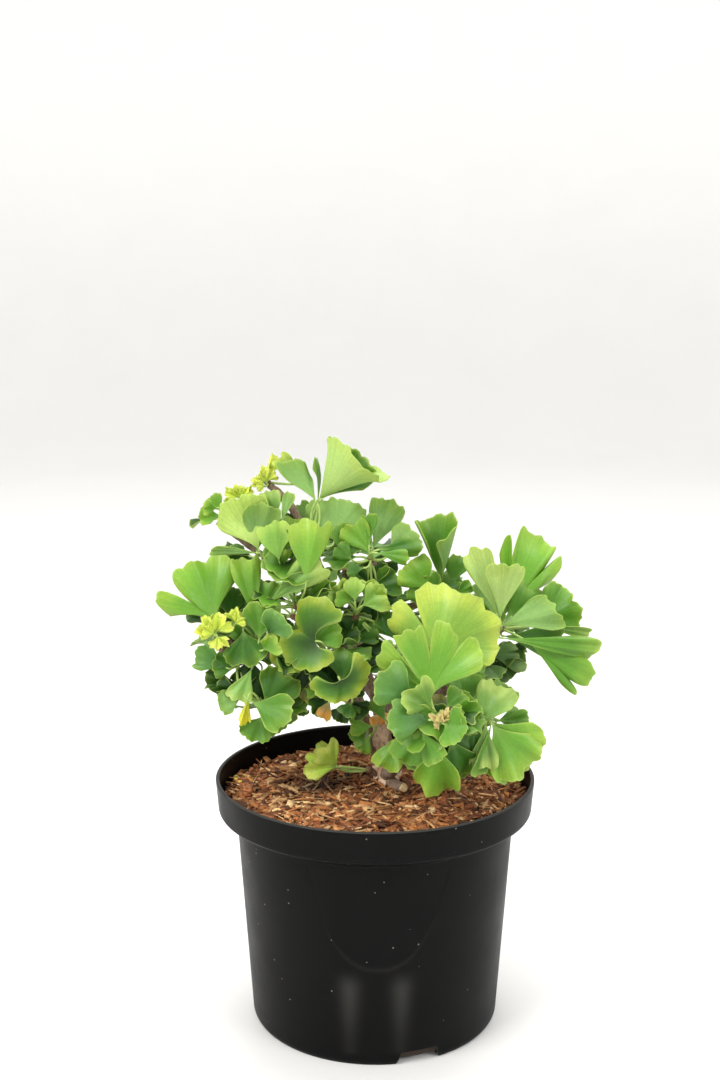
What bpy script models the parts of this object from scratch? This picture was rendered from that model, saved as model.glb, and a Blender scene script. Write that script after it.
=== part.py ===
"""A dwarf ginkgo grown as a bonsai in a black nursery pot.

Metres, +Z up. The origin is on the ground under the middle of the pot, and
-Y is the side that the plant shows. Stems and leaves are placed as an eye
0.77 m in front of the pot sees them: across and down in picture units on a
720 by 1080 picture, and how far ahead of the pot's axis in millimetres.
"""

import math
import random
from collections import namedtuple

import bmesh
import bpy
import numpy as np
from mathutils import Vector
from mathutils.bvhtree import BVHTree

OBJECT_NAME = "ginkgo_bonsai"
MM = 0.001

# Pot
POT_HEIGHT = 133 * MM
LIP_RADIUS = 85 * MM
BAND_FOOT_RADIUS = 83.6 * MM
SHOULDER_RADIUS = 74 * MM
FOOT_RADIUS = 66.3 * MM
BAND_HEIGHT = 17 * MM
BAND_CHAMFER = 5 * MM
WALL = 1.2 * MM
LIP_WIDTH = 2.0 * MM
LIP_ROUND = 0.5 * MM
FLOOR = 1.6 * MM
FOOT_ROUND = 2.0 * MM
POT_SIDES = 48
NOTCHES = 3
NOTCH_TURN = math.radians(19.5)
NOTCH_WIDTH = 19 * MM
NOTCH_FOOT_WIDTH = 23 * MM
NOTCH_HEIGHT = 7 * MM
NOTCH_REACH = 9 * MM
NOTCH_PLAY = 2 * MM

# Soil and bark
SEAT = 0.3 * MM
SOIL_TOP = 116.5 * MM
BARK_EDGE = 120.2 * MM
BARK_CROWN = 122.4 * MM
BARK_CHIPS = 34
BARK_SEED = 11
CHIP_LENGTHS = (9, 20)
CHIP_WIDTHS = (3, 6.5)
CHIP_DEPTHS = (2.2, 3.6)
CHIP_SINKS = (-0.6, 0.3)
CHIP_TILTS = (0.12, 0.08)
CHIP_TAPER = 0.7
CHIP_MARGIN = 14 * MM

# Wood
TRUNK_X, TRUNK_Y = 6 * MM, 12 * MM
TRUNK_END = 98 * MM
TRUNK_RADIUS = 7.6 * MM
HOLE_PLAY = 0.6 * MM
HOLE_SIDES = 16
HOLE_OVER = 10 * MM
TWIG_RADIUS = 1.7 * MM
SPUR_RADIUS = 2.1 * MM

# Leaves
BLADE = 0.7 * MM
STALK_WIDTH = 1.4 * MM
SHORT_STALK = 11 * MM
DEEP_CUP = 40
BUD_RADIUS = 1.9 * MM
BUD_HEIGHT = 3.2 * MM
CLEARANCE = 1.15 * MM
WOOD_CLEARANCE = 0.75 * MM
SAMPLE_STEP = 1.5 * MM
MARGIN_ROUND = 0.16
SLIT_MARGIN = 0.03
STALK_BEND = 0.4
MIDDLE_RING = 0.55
WAIST = 0.5
SHIFTS = (0, 2, -2, 4, -4, 6, -6, 9, -9, 12, -12, 16, -16, 20, -20)
TILTS = (0, 4, -4, 9, -9)
HIDDEN_SPREADS = (80, 125)
HIDDEN_CUPS = (-10, 30)
HIDDEN_RUFFLES = (0.02, 0.06)
HIDDEN_STALKS = (9, 15)
HIDDEN_LENGTHS = (19, 27)
HIDDEN_RISES = (-0.15, 0.75)
HIDDEN_ARC = 190
HIDDEN_TURNS = (0, 0.25, -0.25, 0.5, -0.5, 0.8, -0.8, 1.2, -1.2)
HIDDEN_LIFTS = (0, 0.3, -0.3, 0.6)
DROOP = Vector((0, 0, -0.35))

# The eye that the picture units belong to
EYE = Vector((-8 * MM, -766 * MM, 407.3 * MM))
EYE_PITCH = math.radians(10.88)
EYE_REACH = 1500.0
PICTURE_MIDDLE = (360.0, 540.0)


def seen(across, down, ahead):
    """The point that shows at (across, down), ahead of the pot's axis by so many millimetres."""
    a = (across - PICTURE_MIDDLE[0]) / EYE_REACH
    b = (PICTURE_MIDDLE[1] - down) / EYE_REACH
    sine, cosine = math.sin(EYE_PITCH), math.cos(EYE_PITCH)
    way = Vector((a, cosine + b * sine, -sine + b * cosine))
    return EYE + way * ((-ahead * MM - EYE.y) / way.y)


def clear_scene():
    for obj in list(bpy.data.objects):
        bpy.data.objects.remove(obj, do_unlink=True)


def new_collection(name):
    collection = bpy.data.collections.new(name)
    bpy.context.scene.collection.children.link(collection)
    return collection


def material(name, colour, roughness):
    """A plain finish with no metal in it."""
    finish = bpy.data.materials.new(name)
    finish.use_nodes = True
    shader = finish.node_tree.nodes["Principled BSDF"]
    shader.inputs["Base Color"].default_value = (*colour, 1.0)
    shader.inputs["Roughness"].default_value = roughness
    shader.inputs["Metallic"].default_value = 0.0
    return finish


def object_from(mesh, name, collection):
    obj = bpy.data.objects.new(name, mesh)
    collection.objects.link(obj)
    return obj


def evaluated_mesh(obj):
    graph = bpy.context.evaluated_depsgraph_get()
    return bpy.data.meshes.new_from_object(obj.evaluated_get(graph))


def freeze(obj):
    """Turns an object's modifiers into its mesh."""
    mesh = evaluated_mesh(obj)
    obj.modifiers.clear()
    obj.data = mesh


def turned(name, profile, sides, collection):
    """A profile of (radius, height) pairs, down its outer side, turned round the Z axis."""
    mesh = bpy.data.meshes.new(name)
    edges = [(i, i + 1) for i in range(len(profile) - 1)]
    mesh.from_pydata([(radius, 0, height) for radius, height in profile], edges, [])
    obj = object_from(mesh, name, collection)
    screw = obj.modifiers.new("turn", "SCREW")
    screw.steps = screw.render_steps = sides
    screw.use_merge_vertices = True
    screw.merge_threshold = 0.00005
    screw.use_smooth_shade = False
    freeze(obj)
    return obj


def tube(name, path, radii, sides_level, collection):
    """A round stem through the points of a path, with its own radius at each."""
    curve = bpy.data.curves.new(name, "CURVE")
    curve.dimensions = "3D"
    curve.bevel_depth = 1.0
    curve.bevel_resolution = sides_level
    curve.use_fill_caps = True
    spline = curve.splines.new("POLY")
    spline.points.add(len(path) - 1)
    for point, place, radius in zip(spline.points, path, radii):
        point.co = (*place, 1.0)
        point.radius = radius
    stem = object_from(curve, name + "_path", collection)
    mesh = evaluated_mesh(stem)
    bpy.data.objects.remove(stem, do_unlink=True)
    cage = bmesh.new()
    cage.from_mesh(mesh)
    bmesh.ops.remove_doubles(cage, verts=cage.verts, dist=0.00001)
    bmesh.ops.recalc_face_normals(cage, faces=cage.faces)
    cage.to_mesh(mesh)
    cage.free()
    return object_from(mesh, name, collection)


def boolean(obj, operation, others, bench):
    """Cuts other objects out of this one, or fuses them into it, and removes them."""
    heap = bpy.data.collections.new(operation.lower())
    bench.children.link(heap)
    for other in others:
        bench.objects.unlink(other)
        heap.objects.link(other)
    change = obj.modifiers.new(operation.lower(), "BOOLEAN")
    change.operation = operation
    change.solver = "MANIFOLD"
    change.operand_type = "COLLECTION"
    change.collection = heap
    freeze(obj)
    for other in others:
        bpy.data.objects.remove(other, do_unlink=True)
    bpy.data.collections.remove(heap)


def fuse(name, pieces, part, bench):
    """One body out of pieces that overlap, moved into the part's collection."""
    body, others = pieces[0], pieces[1:]
    bench.objects.unlink(body)
    part.objects.link(body)
    boolean(body, "UNION", others, bench)
    body.name = name
    return body


# Pot


def wall_radius(height):
    """The outer radius of the pot's wall below its rim band."""
    shoulder = POT_HEIGHT - BAND_HEIGHT - BAND_CHAMFER
    return FOOT_RADIUS + (SHOULDER_RADIUS - FOOT_RADIUS) * height / shoulder


def pot_profile():
    band_foot = POT_HEIGHT - BAND_HEIGHT
    shoulder = band_foot - BAND_CHAMFER
    inside = [
        (0, FLOOR),
        (FOOT_RADIUS - WALL - FOOT_ROUND, FLOOR),
        (wall_radius(FLOOR + FOOT_ROUND) - WALL, FLOOR + FOOT_ROUND),
        (SHOULDER_RADIUS - WALL, shoulder + WALL),
        (BAND_FOOT_RADIUS - WALL, band_foot + WALL / 2),
        (LIP_RADIUS - LIP_WIDTH, POT_HEIGHT - LIP_WIDTH),
        (LIP_RADIUS - LIP_WIDTH, POT_HEIGHT - LIP_ROUND / 2),
    ]
    outside = [
        (LIP_RADIUS - LIP_WIDTH + LIP_ROUND, POT_HEIGHT),
        (LIP_RADIUS - LIP_ROUND, POT_HEIGHT),
        (LIP_RADIUS, POT_HEIGHT - LIP_ROUND),
        (BAND_FOOT_RADIUS, band_foot),
        (SHOULDER_RADIUS, shoulder),
        (wall_radius(FOOT_ROUND), FOOT_ROUND),
        (FOOT_RADIUS - FOOT_ROUND / 2, 0),
        (0, 0),
    ]
    return inside + outside


def drain_notch(turn, bench):
    """A wedge-sided cutter through the foot of the wall and the rim of the floor."""
    mesh = bpy.data.meshes.new("drain_notch")
    cage = bmesh.new()
    bmesh.ops.create_cube(cage, size=1.0)
    for corner in cage.verts:
        width = NOTCH_WIDTH if corner.co.z > 0 else NOTCH_FOOT_WIDTH + NOTCH_PLAY
        corner.co.x *= width
        corner.co.y = corner.co.y * 2 * NOTCH_REACH - FOOT_RADIUS
        corner.co.z = NOTCH_HEIGHT if corner.co.z > 0 else -NOTCH_PLAY
    cage.to_mesh(mesh)
    cage.free()
    cutter = object_from(mesh, "drain_notch", bench)
    cutter.rotation_euler = (0, 0, turn)
    cutter.display_type = "WIRE"
    cutter.hide_render = True
    return cutter


def build_pot(part, bench):
    pot = turned("pot", pot_profile(), POT_SIDES, part)
    turns = [NOTCH_TURN + i * 2 * math.pi / NOTCHES for i in range(NOTCHES)]
    boolean(pot, "DIFFERENCE", [drain_notch(turn, bench) for turn in turns], bench)
    pot.data.materials.append(material("black_plastic", (0.018, 0.018, 0.019), 0.5))
    return pot


# Soil and bark


def trunk_hole(top, bottom, bench):
    """The plain hole that the trunk stands in."""
    mesh = bpy.data.meshes.new("trunk_hole")
    cage = bmesh.new()
    bmesh.ops.create_cone(
        cage, cap_ends=True, segments=HOLE_SIDES, depth=top - bottom,
        radius1=TRUNK_RADIUS + HOLE_PLAY, radius2=TRUNK_RADIUS + HOLE_PLAY,
    )
    bmesh.ops.translate(cage, verts=cage.verts, vec=(TRUNK_X, TRUNK_Y, (top + bottom) / 2))
    cage.to_mesh(mesh)
    cage.free()
    cutter = object_from(mesh, "trunk_hole", bench)
    cutter.display_type = "WIRE"
    cutter.hide_render = True
    return cutter


def build_soil(part, bench):
    """The root ball, turned to the inside of the pot."""
    shoulder = POT_HEIGHT - BAND_HEIGHT - BAND_CHAMFER
    play = WALL + SEAT
    profile = [
        (0, SOIL_TOP),
        (BAND_FOOT_RADIUS - play - 2 * SEAT, SOIL_TOP),
        (SHOULDER_RADIUS - play - SEAT, shoulder + WALL),
        (wall_radius(FLOOR + FOOT_ROUND) - play, FLOOR + FOOT_ROUND + SEAT),
        (FOOT_RADIUS - play - FOOT_ROUND, FLOOR + SEAT),
        (0, FLOOR + SEAT),
    ]
    soil = turned("potting_soil", profile, POT_SIDES // 2, part)
    hole = trunk_hole(SOIL_TOP + HOLE_OVER, TRUNK_END - SEAT, bench)
    boolean(soil, "DIFFERENCE", [hole], bench)
    soil.data.materials.append(material("dark_compost", (0.035, 0.022, 0.014), 0.95))
    return soil


def bark_height(radius):
    """The bark layer rises a little from the pot's wall to its middle."""
    return BARK_CROWN + (BARK_EDGE - BARK_CROWN) * (radius / LIP_RADIUS) ** 2


def bark_chip(rng, bench):
    """One flat sliver of bark, lying half sunk at a random place and turn."""
    spread = math.sqrt(rng.uniform(0.02, 1.0)) * (BAND_FOOT_RADIUS - CHIP_MARGIN)
    bearing = rng.uniform(0, 2 * math.pi)
    length = rng.uniform(*CHIP_LENGTHS) * MM
    width = rng.uniform(*CHIP_WIDTHS) * MM
    thick = rng.uniform(*CHIP_DEPTHS) * MM
    mesh = bpy.data.meshes.new("chip")
    cage = bmesh.new()
    bmesh.ops.create_cube(cage, size=1.0)
    for corner in cage.verts:
        taper = CHIP_TAPER if corner.co.x > 0 else 1.0
        corner.co = (corner.co.x * length, corner.co.y * width * taper, corner.co.z * thick)
    cage.to_mesh(mesh)
    cage.free()
    chip = object_from(mesh, "chip", bench)
    chip.location = (
        spread * math.cos(bearing), spread * math.sin(bearing),
        bark_height(spread) + rng.uniform(*CHIP_SINKS) * MM,
    )
    roll, pitch = [rng.uniform(-tilt, tilt) for tilt in CHIP_TILTS]
    chip.rotation_euler = (roll, pitch, rng.uniform(0, 2 * math.pi))
    return chip


def build_bark(part, bench):
    """A bed of bark with chips standing out of its top, round the trunk's hole."""
    rim = BAND_FOOT_RADIUS - WALL - 3 * SEAT
    profile = [
        (0, BARK_CROWN),
        (rim * 0.6, bark_height(rim * 0.6)),
        (rim, BARK_EDGE),
        (rim, SOIL_TOP + SEAT),
        (0, SOIL_TOP + SEAT),
    ]
    bed = turned("bark_mulch", profile, POT_SIDES // 2, bench)
    rng = random.Random(BARK_SEED)
    chips = [bark_chip(rng, bench) for _ in range(BARK_CHIPS)]
    bark = fuse("bark_mulch", [bed, *chips], part, bench)
    hole = trunk_hole(BARK_CROWN + HOLE_OVER, SOIL_TOP - HOLE_OVER, bench)
    boolean(bark, "DIFFERENCE", [hole], bench)
    bark.data.materials.append(material("bark_brown", (0.22, 0.09, 0.04), 0.85))
    return bark


# Wood: each branch is a list of (across, down, ahead, radius in mm)

BRANCHES = {
    "leader": [
        (384, 762, -13, 5.6), (374, 742, -18, 4.6), (356, 700, -22, 3.9), (341, 645, -22, 3.3),
        (327, 590, -20, 2.8), (310, 545, -18, 2.5), (293, 510, -18, 2.2), (277, 491, -19, 2.0),
    ],
    "middle_branch": [
        (356, 700, -22, 3.2), (368, 655, -30, 2.8), (380, 612, -28, 2.5), (384, 578, -24, 2.2),
    ],
    "right_branch": [
        (386, 768, -11, 4.4), (404, 738, -8, 3.8), (440, 694, 0, 3.1), (474, 655, 2, 2.7),
        (492, 636, 0, 2.3),
    ],
    "front_branch": [
        (387, 774, -8, 4.0), (402, 760, 12, 3.3), (420, 742, 30, 2.8), (431, 729, 40, 2.3),
    ],
    "left_branch": [
        (358, 706, -20, 3.2), (330, 684, -10, 2.8), (296, 666, -4, 2.5), (262, 650, -4, 2.2),
        (234, 642, -4, 2.0),
    ],
    "back_branch": [
        (382, 768, -16, 4.6), (384, 742, -34, 3.8), (376, 700, -50, 3.2), (360, 655, -56, 2.8),
        (352, 612, -56, 2.3),
    ],
    "back_right_branch": [
        (380, 716, -46, 3.0), (410, 680, -52, 2.6), (440, 645, -52, 2.2),
    ],
}


def trunk_pieces(bench):
    """The trunk from its buried end to the cut stub at its top."""
    x, y = TRUNK_X, TRUNK_Y
    path = [
        Vector((x, y, TRUNK_END)), Vector((x, y, BARK_CROWN + 1.5 * MM)),
        seen(387, 772, -12), seen(385, 758, -12), seen(383, 742, -12),
        seen(382, 728, -12), seen(379, 716, -13),
    ]
    radii = [r * MM for r in (6.4, 7.6, 7.4, 6.6, 5.4, 4.9, 4.4)]
    return [tube("trunk", path, radii, 3, bench)]


def branch_pieces(bench):
    pieces = []
    for name, rows in BRANCHES.items():
        path = [seen(across, down, ahead) for across, down, ahead, _ in rows]
        radii = [radius * MM for *_, radius in rows]
        pieces.append(tube(name, path, radii, 1, bench))
    return pieces


# Shoots and leaves

Leaf = namedtuple(
    "Leaf",
    "foot tip spread roll cup ruffle beats phase bend taper skew slits columns",
    defaults=(100, 0, 8, 0.03, 2.0, 0.0, 0.0, 0.0, 0.0, (), 8),
)
"""foot and tip: (across, down, ahead) of the blade's foot and of the middle of its margin.
spread: the fan's angle. roll: turn of the upper face away from the eye. cup: how far it is
rolled on a cone, upper face inside. ruffle, beats, phase: wave of the margin. bend: curl of
the tip. taper: how much shorter the sides are than the middle. skew: how much longer the
+ side is than the other. slits: (place from -1 to 1, depth, half width). columns: strips
across. Angles in degrees."""

Shoot = namedtuple("Shoot", "twig leaves hidden tone", defaults=(0, "leaf_green"))
"""twig: (across, down, ahead) from its branch to its crown. leaves: those that show.
hidden: how many more grow behind. tone: the colour of the whole shoot."""

Pose = namedtuple("Pose", "foot along face side length")

SHOOTS = {
    "top_shoot": Shoot(
        twig=[(318, 568, -19), (314, 556, -13), (312, 547, -11)],
        leaves=[
            Leaf(
                foot=(320, 498, -10), tip=(369, 465, 8), spread=150, roll=215, cup=62, taper=0.12,
                columns=12,
            ),
            Leaf(
                foot=(316, 501, -12), tip=(292, 462, -18), spread=54, roll=200, cup=20, bend=-0.1,
                skew=0.3,
            ),
            Leaf(foot=(318, 500, -16), tip=(321, 458, -22), spread=32, roll=65, cup=10),
            Leaf(foot=(334, 542, -20), tip=(336, 496, -28), spread=105, roll=180, cup=10, columns=10),
            Leaf(foot=(316, 528, -22), tip=(293, 508, -26), spread=70, roll=180),
        ],
    ),
    "bowl_shoot": Shoot(
        twig=[(330, 606, -20), (312, 604, -8), (299, 606, -2)],
        leaves=[
            Leaf(foot=(306, 583, 9), tip=(310, 521, 13), spread=52, roll=0, cup=-15, columns=10),
            Leaf(foot=(288, 562, -8), tip=(290, 577, 12), spread=200, roll=0, cup=42, columns=12),
            Leaf(foot=(279, 562, -2), tip=(272, 523, 1), spread=66, roll=0, cup=-22),
            Leaf(foot=(270, 600, 2), tip=(312, 566, 6), spread=24, roll=0, cup=-15),
        ],
    ),
    "upper_left_shoot": Shoot(
        twig=[(322, 578, -19), (296, 572, -12), (268, 566, -9)],
        leaves=[
            Leaf(foot=(259, 550, -4), tip=(236, 498, -10), spread=80, roll=180, cup=-12, columns=10),
            Leaf(foot=(258, 553, -2), tip=(211, 549, 5), spread=22, roll=150, cup=15),
            Leaf(foot=(281, 523, -8), tip=(290, 492, -10), spread=28, roll=180, cup=10),
            Leaf(foot=(247, 565, -14), tip=(214, 562, -18), spread=50, roll=30),
        ],
    ),
    "corner_shoot": Shoot(
        twig=[(296, 572, -13), (258, 552, -20), (226, 526, -18)],
        leaves=[
            Leaf(foot=(220, 515, -16), tip=(199, 517, -12), spread=80, roll=10, cup=45),
            Leaf(foot=(221, 511, -18), tip=(210, 496, -20), spread=90, roll=0, cup=40),
            Leaf(foot=(217, 508, -13), tip=(203, 508, -9), spread=80, roll=-20, cup=50),
        ],
    ),
    "left_inner_shoot": Shoot(
        twig=[(284, 660, -3), (270, 654, 3), (260, 645, 6)],
        leaves=[
            Leaf(foot=(256, 622, 6), tip=(243, 556, 2), spread=36, roll=15, cup=25, columns=10),
            Leaf(foot=(259, 640, 14), tip=(262, 602, 14), spread=80, roll=0, cup=20),
            Leaf(foot=(268, 634, 20), tip=(281, 616, 25), spread=100, roll=0, cup=50),
            Leaf(foot=(263, 650, 18), tip=(277, 641, 25), spread=90, roll=20, cup=45),
            Leaf(foot=(243, 630, 12), tip=(248, 666, 18), spread=100, roll=0, cup=20, bend=-0.1),
        ],
    ),
    "left_fan_shoot": Shoot(
        twig=[(240, 644, -4), (230, 640, -3), (224, 636, -1)],
        leaves=[
            Leaf(
                foot=(216, 622, 3), tip=(186, 563, 0), spread=104, roll=10, cup=14, ruffle=0.03,
                beats=3.0, slits=((-0.48, 0.6, 0.15),), columns=12,
            ),
            Leaf(foot=(232, 620, -12), tip=(228, 584, -22), spread=80, roll=20),
        ],
    ),
    "left_low_shoot": Shoot(
        twig=[(258, 652, -5), (246, 660, -2), (240, 662, 0)],
        leaves=[
            Leaf(foot=(227, 668, 8), tip=(195, 653, 10), spread=62, roll=0, cup=15),
            Leaf(foot=(238, 684, 4), tip=(205, 680, 8), spread=56, roll=20, cup=40, ruffle=0.08),
            Leaf(foot=(252, 702, 17), tip=(290, 718, 26), spread=75, roll=-10, cup=30),
        ],
        hidden=1,
    ),
    "lower_left_shoot": Shoot(
        twig=[(300, 668, -5), (284, 694, 0), (268, 708, 5)],
        leaves=[
            Leaf(foot=(264, 706, 14), tip=(287, 671, 12), spread=85, roll=0, cup=15, columns=10),
            Leaf(foot=(242, 697, 14), tip=(218, 705, 18), spread=80, roll=180, cup=15),
            Leaf(foot=(248, 698, 20), tip=(243, 725, 22), spread=34, roll=0, cup=25),
            Leaf(foot=(262, 716, 12), tip=(250, 741, 18), spread=100, roll=0, cup=25),
        ],
    ),
    "centre_left_shoot": Shoot(
        twig=[(338, 690, -12), (332, 668, 0), (326, 654, 8)],
        leaves=[
            Leaf(
                foot=(316, 641, 16), tip=(278, 643, 14), spread=290, roll=0, cup=12, skew=0.3,
                slits=((0.24, 0.5, 0.2),), columns=14,
            ),
            Leaf(foot=(312, 676, 6), tip=(308, 703, 10), spread=50, roll=0, cup=20),
        ],
        hidden=1,
    ),
    "centre_shoot": Shoot(
        twig=[(350, 706, -19), (350, 702, 2), (348, 694, 14)],
        leaves=[
            Leaf(
                foot=(340, 680, 26), tip=(350, 700, 28), spread=254, roll=0, cup=12, taper=-0.85,
                skew=-0.1, columns=12,
            ),
            Leaf(foot=(330, 700, 18), tip=(322, 719, 22), spread=66, roll=20, cup=25),
            Leaf(foot=(352, 702, -2), tip=(344, 716, 2), spread=90, roll=0, cup=15),
        ],
    ),
    "small_inner_shoot": Shoot(
        twig=[(341, 642, -22), (350, 630, -14), (355, 618, -8)],
        leaves=[
            Leaf(foot=(350, 604, -2), tip=(331, 586, 2), spread=80, roll=0, cup=32),
            Leaf(foot=(355, 602, 0), tip=(353, 579, 2), spread=72, roll=0, cup=42),
            Leaf(foot=(362, 606, 0), tip=(385, 592, 4), spread=90, roll=0, cup=26),
        ],
        hidden=1,
    ),
    "upper_middle_shoot": Shoot(
        twig=[(384, 580, -24), (378, 568, -18), (372, 561, -14)],
        leaves=[
            Leaf(foot=(373, 549, -14), tip=(391, 500, -18), spread=52, roll=180, ruffle=0.05, columns=10),
            Leaf(foot=(369, 546, -9), tip=(370, 513, -9), spread=34, roll=0, cup=10),
            Leaf(foot=(378, 550, -6), tip=(424, 545, -4), spread=40, roll=0, cup=20, taper=0.3),
            Leaf(foot=(377, 553, 0), tip=(408, 558, 6), spread=36, roll=0, cup=-15),
            Leaf(foot=(352, 560, -7), tip=(336, 547, -5), spread=80, roll=0, cup=10),
            Leaf(foot=(364, 568, -4), tip=(346, 570, 2), spread=70, roll=0, cup=10),
        ],
        hidden=1,
    ),
    "tube_shoot": Shoot(
        twig=[(381, 606, -28), (410, 606, -24), (430, 600, -18)],
        leaves=[
            Leaf(foot=(441, 580, -14), tip=(447, 514, -20), spread=110, roll=-25, cup=70, columns=12),
            Leaf(foot=(428, 589, -10), tip=(409, 565, -4), spread=86, roll=0, cup=15),
            Leaf(foot=(450, 586, -16), tip=(459, 556, -14), spread=60, roll=0, cup=20),
            Leaf(foot=(456, 594, -10), tip=(471, 584, -8), spread=60, roll=10, cup=20),
        ],
        hidden=1,
    ),
    "right_shoot": Shoot(
        twig=[(490, 638, 0), (495, 634, 0), (499, 631, 0)],
        leaves=[
            Leaf(foot=(497, 615, 2), tip=(475, 549, 0), spread=32, roll=180, cup=18, columns=10),
            Leaf(foot=(500, 619, 8), tip=(506, 561, 6), spread=48, roll=180, cup=10, columns=10),
            Leaf(
                foot=(503, 617, -8), tip=(540, 534, -18), spread=55, roll=0, cup=14, taper=0.06,
                skew=-0.05, slits=((-0.58, 0.36, 0.12), (0.56, 0.3, 0.08)), columns=12,
            ),
            Leaf(
                foot=(501, 626, 10), tip=(558, 606, 16), spread=46, roll=180, cup=12, skew=-0.14,
                columns=10,
            ),
            Leaf(foot=(540, 620, -6), tip=(575, 597, -8), spread=100, roll=0, cup=10, ruffle=0.14),
            Leaf(foot=(540, 627, 0), tip=(591, 632, 0), spread=18, roll=20, cup=10),
            Leaf(foot=(502, 638, 6), tip=(598, 650, 14), spread=17, roll=0, cup=12, columns=8),
            Leaf(
                foot=(528, 642, 12), tip=(589, 681, 22), spread=38, roll=0, cup=14, bend=-0.05,
                slits=((0.5, 0.2, 0.12),), columns=8,
            ),
        ],
        hidden=1,
    ),
    "right_under_shoot": Shoot(
        twig=[(466, 664, 1), (476, 668, -3), (483, 668, -6)],
        leaves=[
            Leaf(
                foot=(490, 656, -4), tip=(520, 651, 2), spread=80, roll=0, cup=12, skew=0.3,
                slits=((0.0, 0.35, 0.1),),
            ),
            Leaf(foot=(487, 664, -2), tip=(496, 679, 4), spread=70, roll=0, cup=15),
        ],
        hidden=1,
    ),
    "yellow_green_shoot": Shoot(
        twig=[(446, 690, 1), (440, 676, 8), (438, 668, 12)],
        leaves=[
            Leaf(
                foot=(437, 655, 26), tip=(461, 588, 20), spread=170, roll=0, cup=-8, ruffle=0.02,
                taper=0.08, slits=((-0.54, 0.75, 0.07),), columns=14,
            ),
        ],
        hidden=2,
    ),
    "front_rosette": Shoot(
        twig=[(428, 734, 38), (434, 726, 44), (438, 721, 47)],
        leaves=[
            Leaf(
                foot=(431, 697, 46), tip=(431, 623, 42), spread=122, roll=0, cup=12, ruffle=0.03,
                beats=3.0, slits=((-0.57, 0.7, 0.04), (-0.03, 0.45, 0.08), (0.45, 0.35, 0.07)),
                columns=14,
            ),
            Leaf(foot=(414, 700, 50), tip=(378, 676, 52), spread=84, roll=0, cup=15),
            Leaf(foot=(429, 720, 54), tip=(389, 720, 60), spread=75, roll=0, cup=15),
            Leaf(foot=(440, 712, 36), tip=(441, 695, 32), spread=110, roll=0, cup=20),
            Leaf(foot=(452, 714, 42), tip=(474, 697, 42), spread=80, roll=0, cup=15),
            Leaf(foot=(444, 724, 54), tip=(466, 733, 62), spread=150, roll=0, cup=30),
            Leaf(foot=(421, 729, 54), tip=(438, 763, 58), spread=50, roll=0, cup=-10),
            Leaf(foot=(418, 733, 46), tip=(411, 755, 44), spread=80, roll=0, cup=10),
            Leaf(foot=(436, 744, 44), tip=(437, 796, 38), spread=72, roll=0, cup=-10, columns=10),
            Leaf(foot=(450, 738, 42), tip=(466, 779, 34), spread=66, roll=0, cup=10),
        ],
    ),
    "right_low_shoot": Shoot(
        twig=[(440, 700, 0), (462, 718, 18), (480, 726, 28)],
        leaves=[
            Leaf(
                foot=(493, 722, 40), tip=(532, 764, 38), spread=94, roll=0, cup=18, ruffle=0.04,
                beats=3.0, skew=0.12, slits=((0.32, 0.12, 0.08),), columns=10,
            ),
            Leaf(foot=(491, 724, 42), tip=(479, 776, 46), spread=26, roll=-40, cup=10),
            Leaf(foot=(486, 721, 38), tip=(507, 683, 32), spread=58, roll=180, cup=10),
            Leaf(foot=(496, 722, 32), tip=(522, 712, 28), spread=40, roll=0, cup=10),
        ],
    ),
    "trunk_right_shoot": Shoot(
        twig=[(392, 764, -8), (398, 752, 0), (402, 744, 6)],
        leaves=[
            Leaf(foot=(400, 737, 16), tip=(383, 769, 20), spread=68, roll=0, cup=-12),
            Leaf(foot=(386, 722, 0), tip=(373, 698, -4), spread=50, roll=0, cup=15),
        ],
    ),
    "trunk_left_shoot": Shoot(
        twig=[(379, 752, -12), (370, 748, -8), (366, 744, -5)],
        leaves=[
            Leaf(foot=(373, 726, 1), tip=(350, 728, 4), spread=60, roll=0, cup=10),
            Leaf(foot=(370, 736, 1), tip=(361, 753, 2), spread=66, roll=0, cup=10),
        ],
    ),
    "basal_shoot": Shoot(
        twig=[(384, 776, -12), (375, 773, -8), (371, 771, -6)],
        leaves=[
            Leaf(foot=(339, 768, -4), tip=(311, 757, 0), spread=88, roll=0, cup=20, ruffle=0.08),
        ],
    ),
    "left_yellow_buds": Shoot(
        twig=[(240, 644, -4), (226, 650, 2), (216, 644, 8)],
        leaves=[
            Leaf(foot=(214, 632, 14), tip=(204, 620, 16), spread=80, roll=0, cup=40, columns=4),
            Leaf(foot=(215, 630, 14), tip=(217, 614, 14), spread=80, roll=0, cup=40, columns=4),
            Leaf(foot=(212, 634, 15), tip=(198, 632, 18), spread=60, roll=0, cup=30, columns=4),
            Leaf(foot=(217, 637, 16), tip=(213, 648, 18), spread=70, roll=0, cup=30, columns=4),
            Leaf(foot=(219, 633, 15), tip=(229, 626, 17), spread=70, roll=0, cup=40, columns=4),
            Leaf(foot=(232, 625, 12), tip=(240, 612, 14), spread=90, roll=0, cup=40, columns=4),
        ],
        tone="bud_yellow",
    ),
    "upper_left_buds": Shoot(
        twig=[(282, 498, -19), (262, 500, -20), (246, 504, -20)],
        leaves=[
            Leaf(foot=(238, 497, -18), tip=(225, 494, -14), spread=90, roll=0, cup=40, columns=4),
            Leaf(foot=(240, 496, -20), tip=(238, 486, -20), spread=90, roll=0, cup=40, columns=4),
            Leaf(foot=(243, 497, -18), tip=(252, 490, -16), spread=80, roll=0, cup=30, columns=4),
        ],
        tone="bud_yellow",
    ),
    "leader_buds": Shoot(
        twig=[(278, 492, -19), (273, 488, -19), (270, 485, -19)],
        leaves=[
            Leaf(foot=(264, 486, -17), tip=(254, 477, -15), spread=90, roll=0, cup=35, columns=4),
            Leaf(foot=(266, 482, -19), tip=(266, 466, -20), spread=80, roll=0, cup=40, columns=4),
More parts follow.
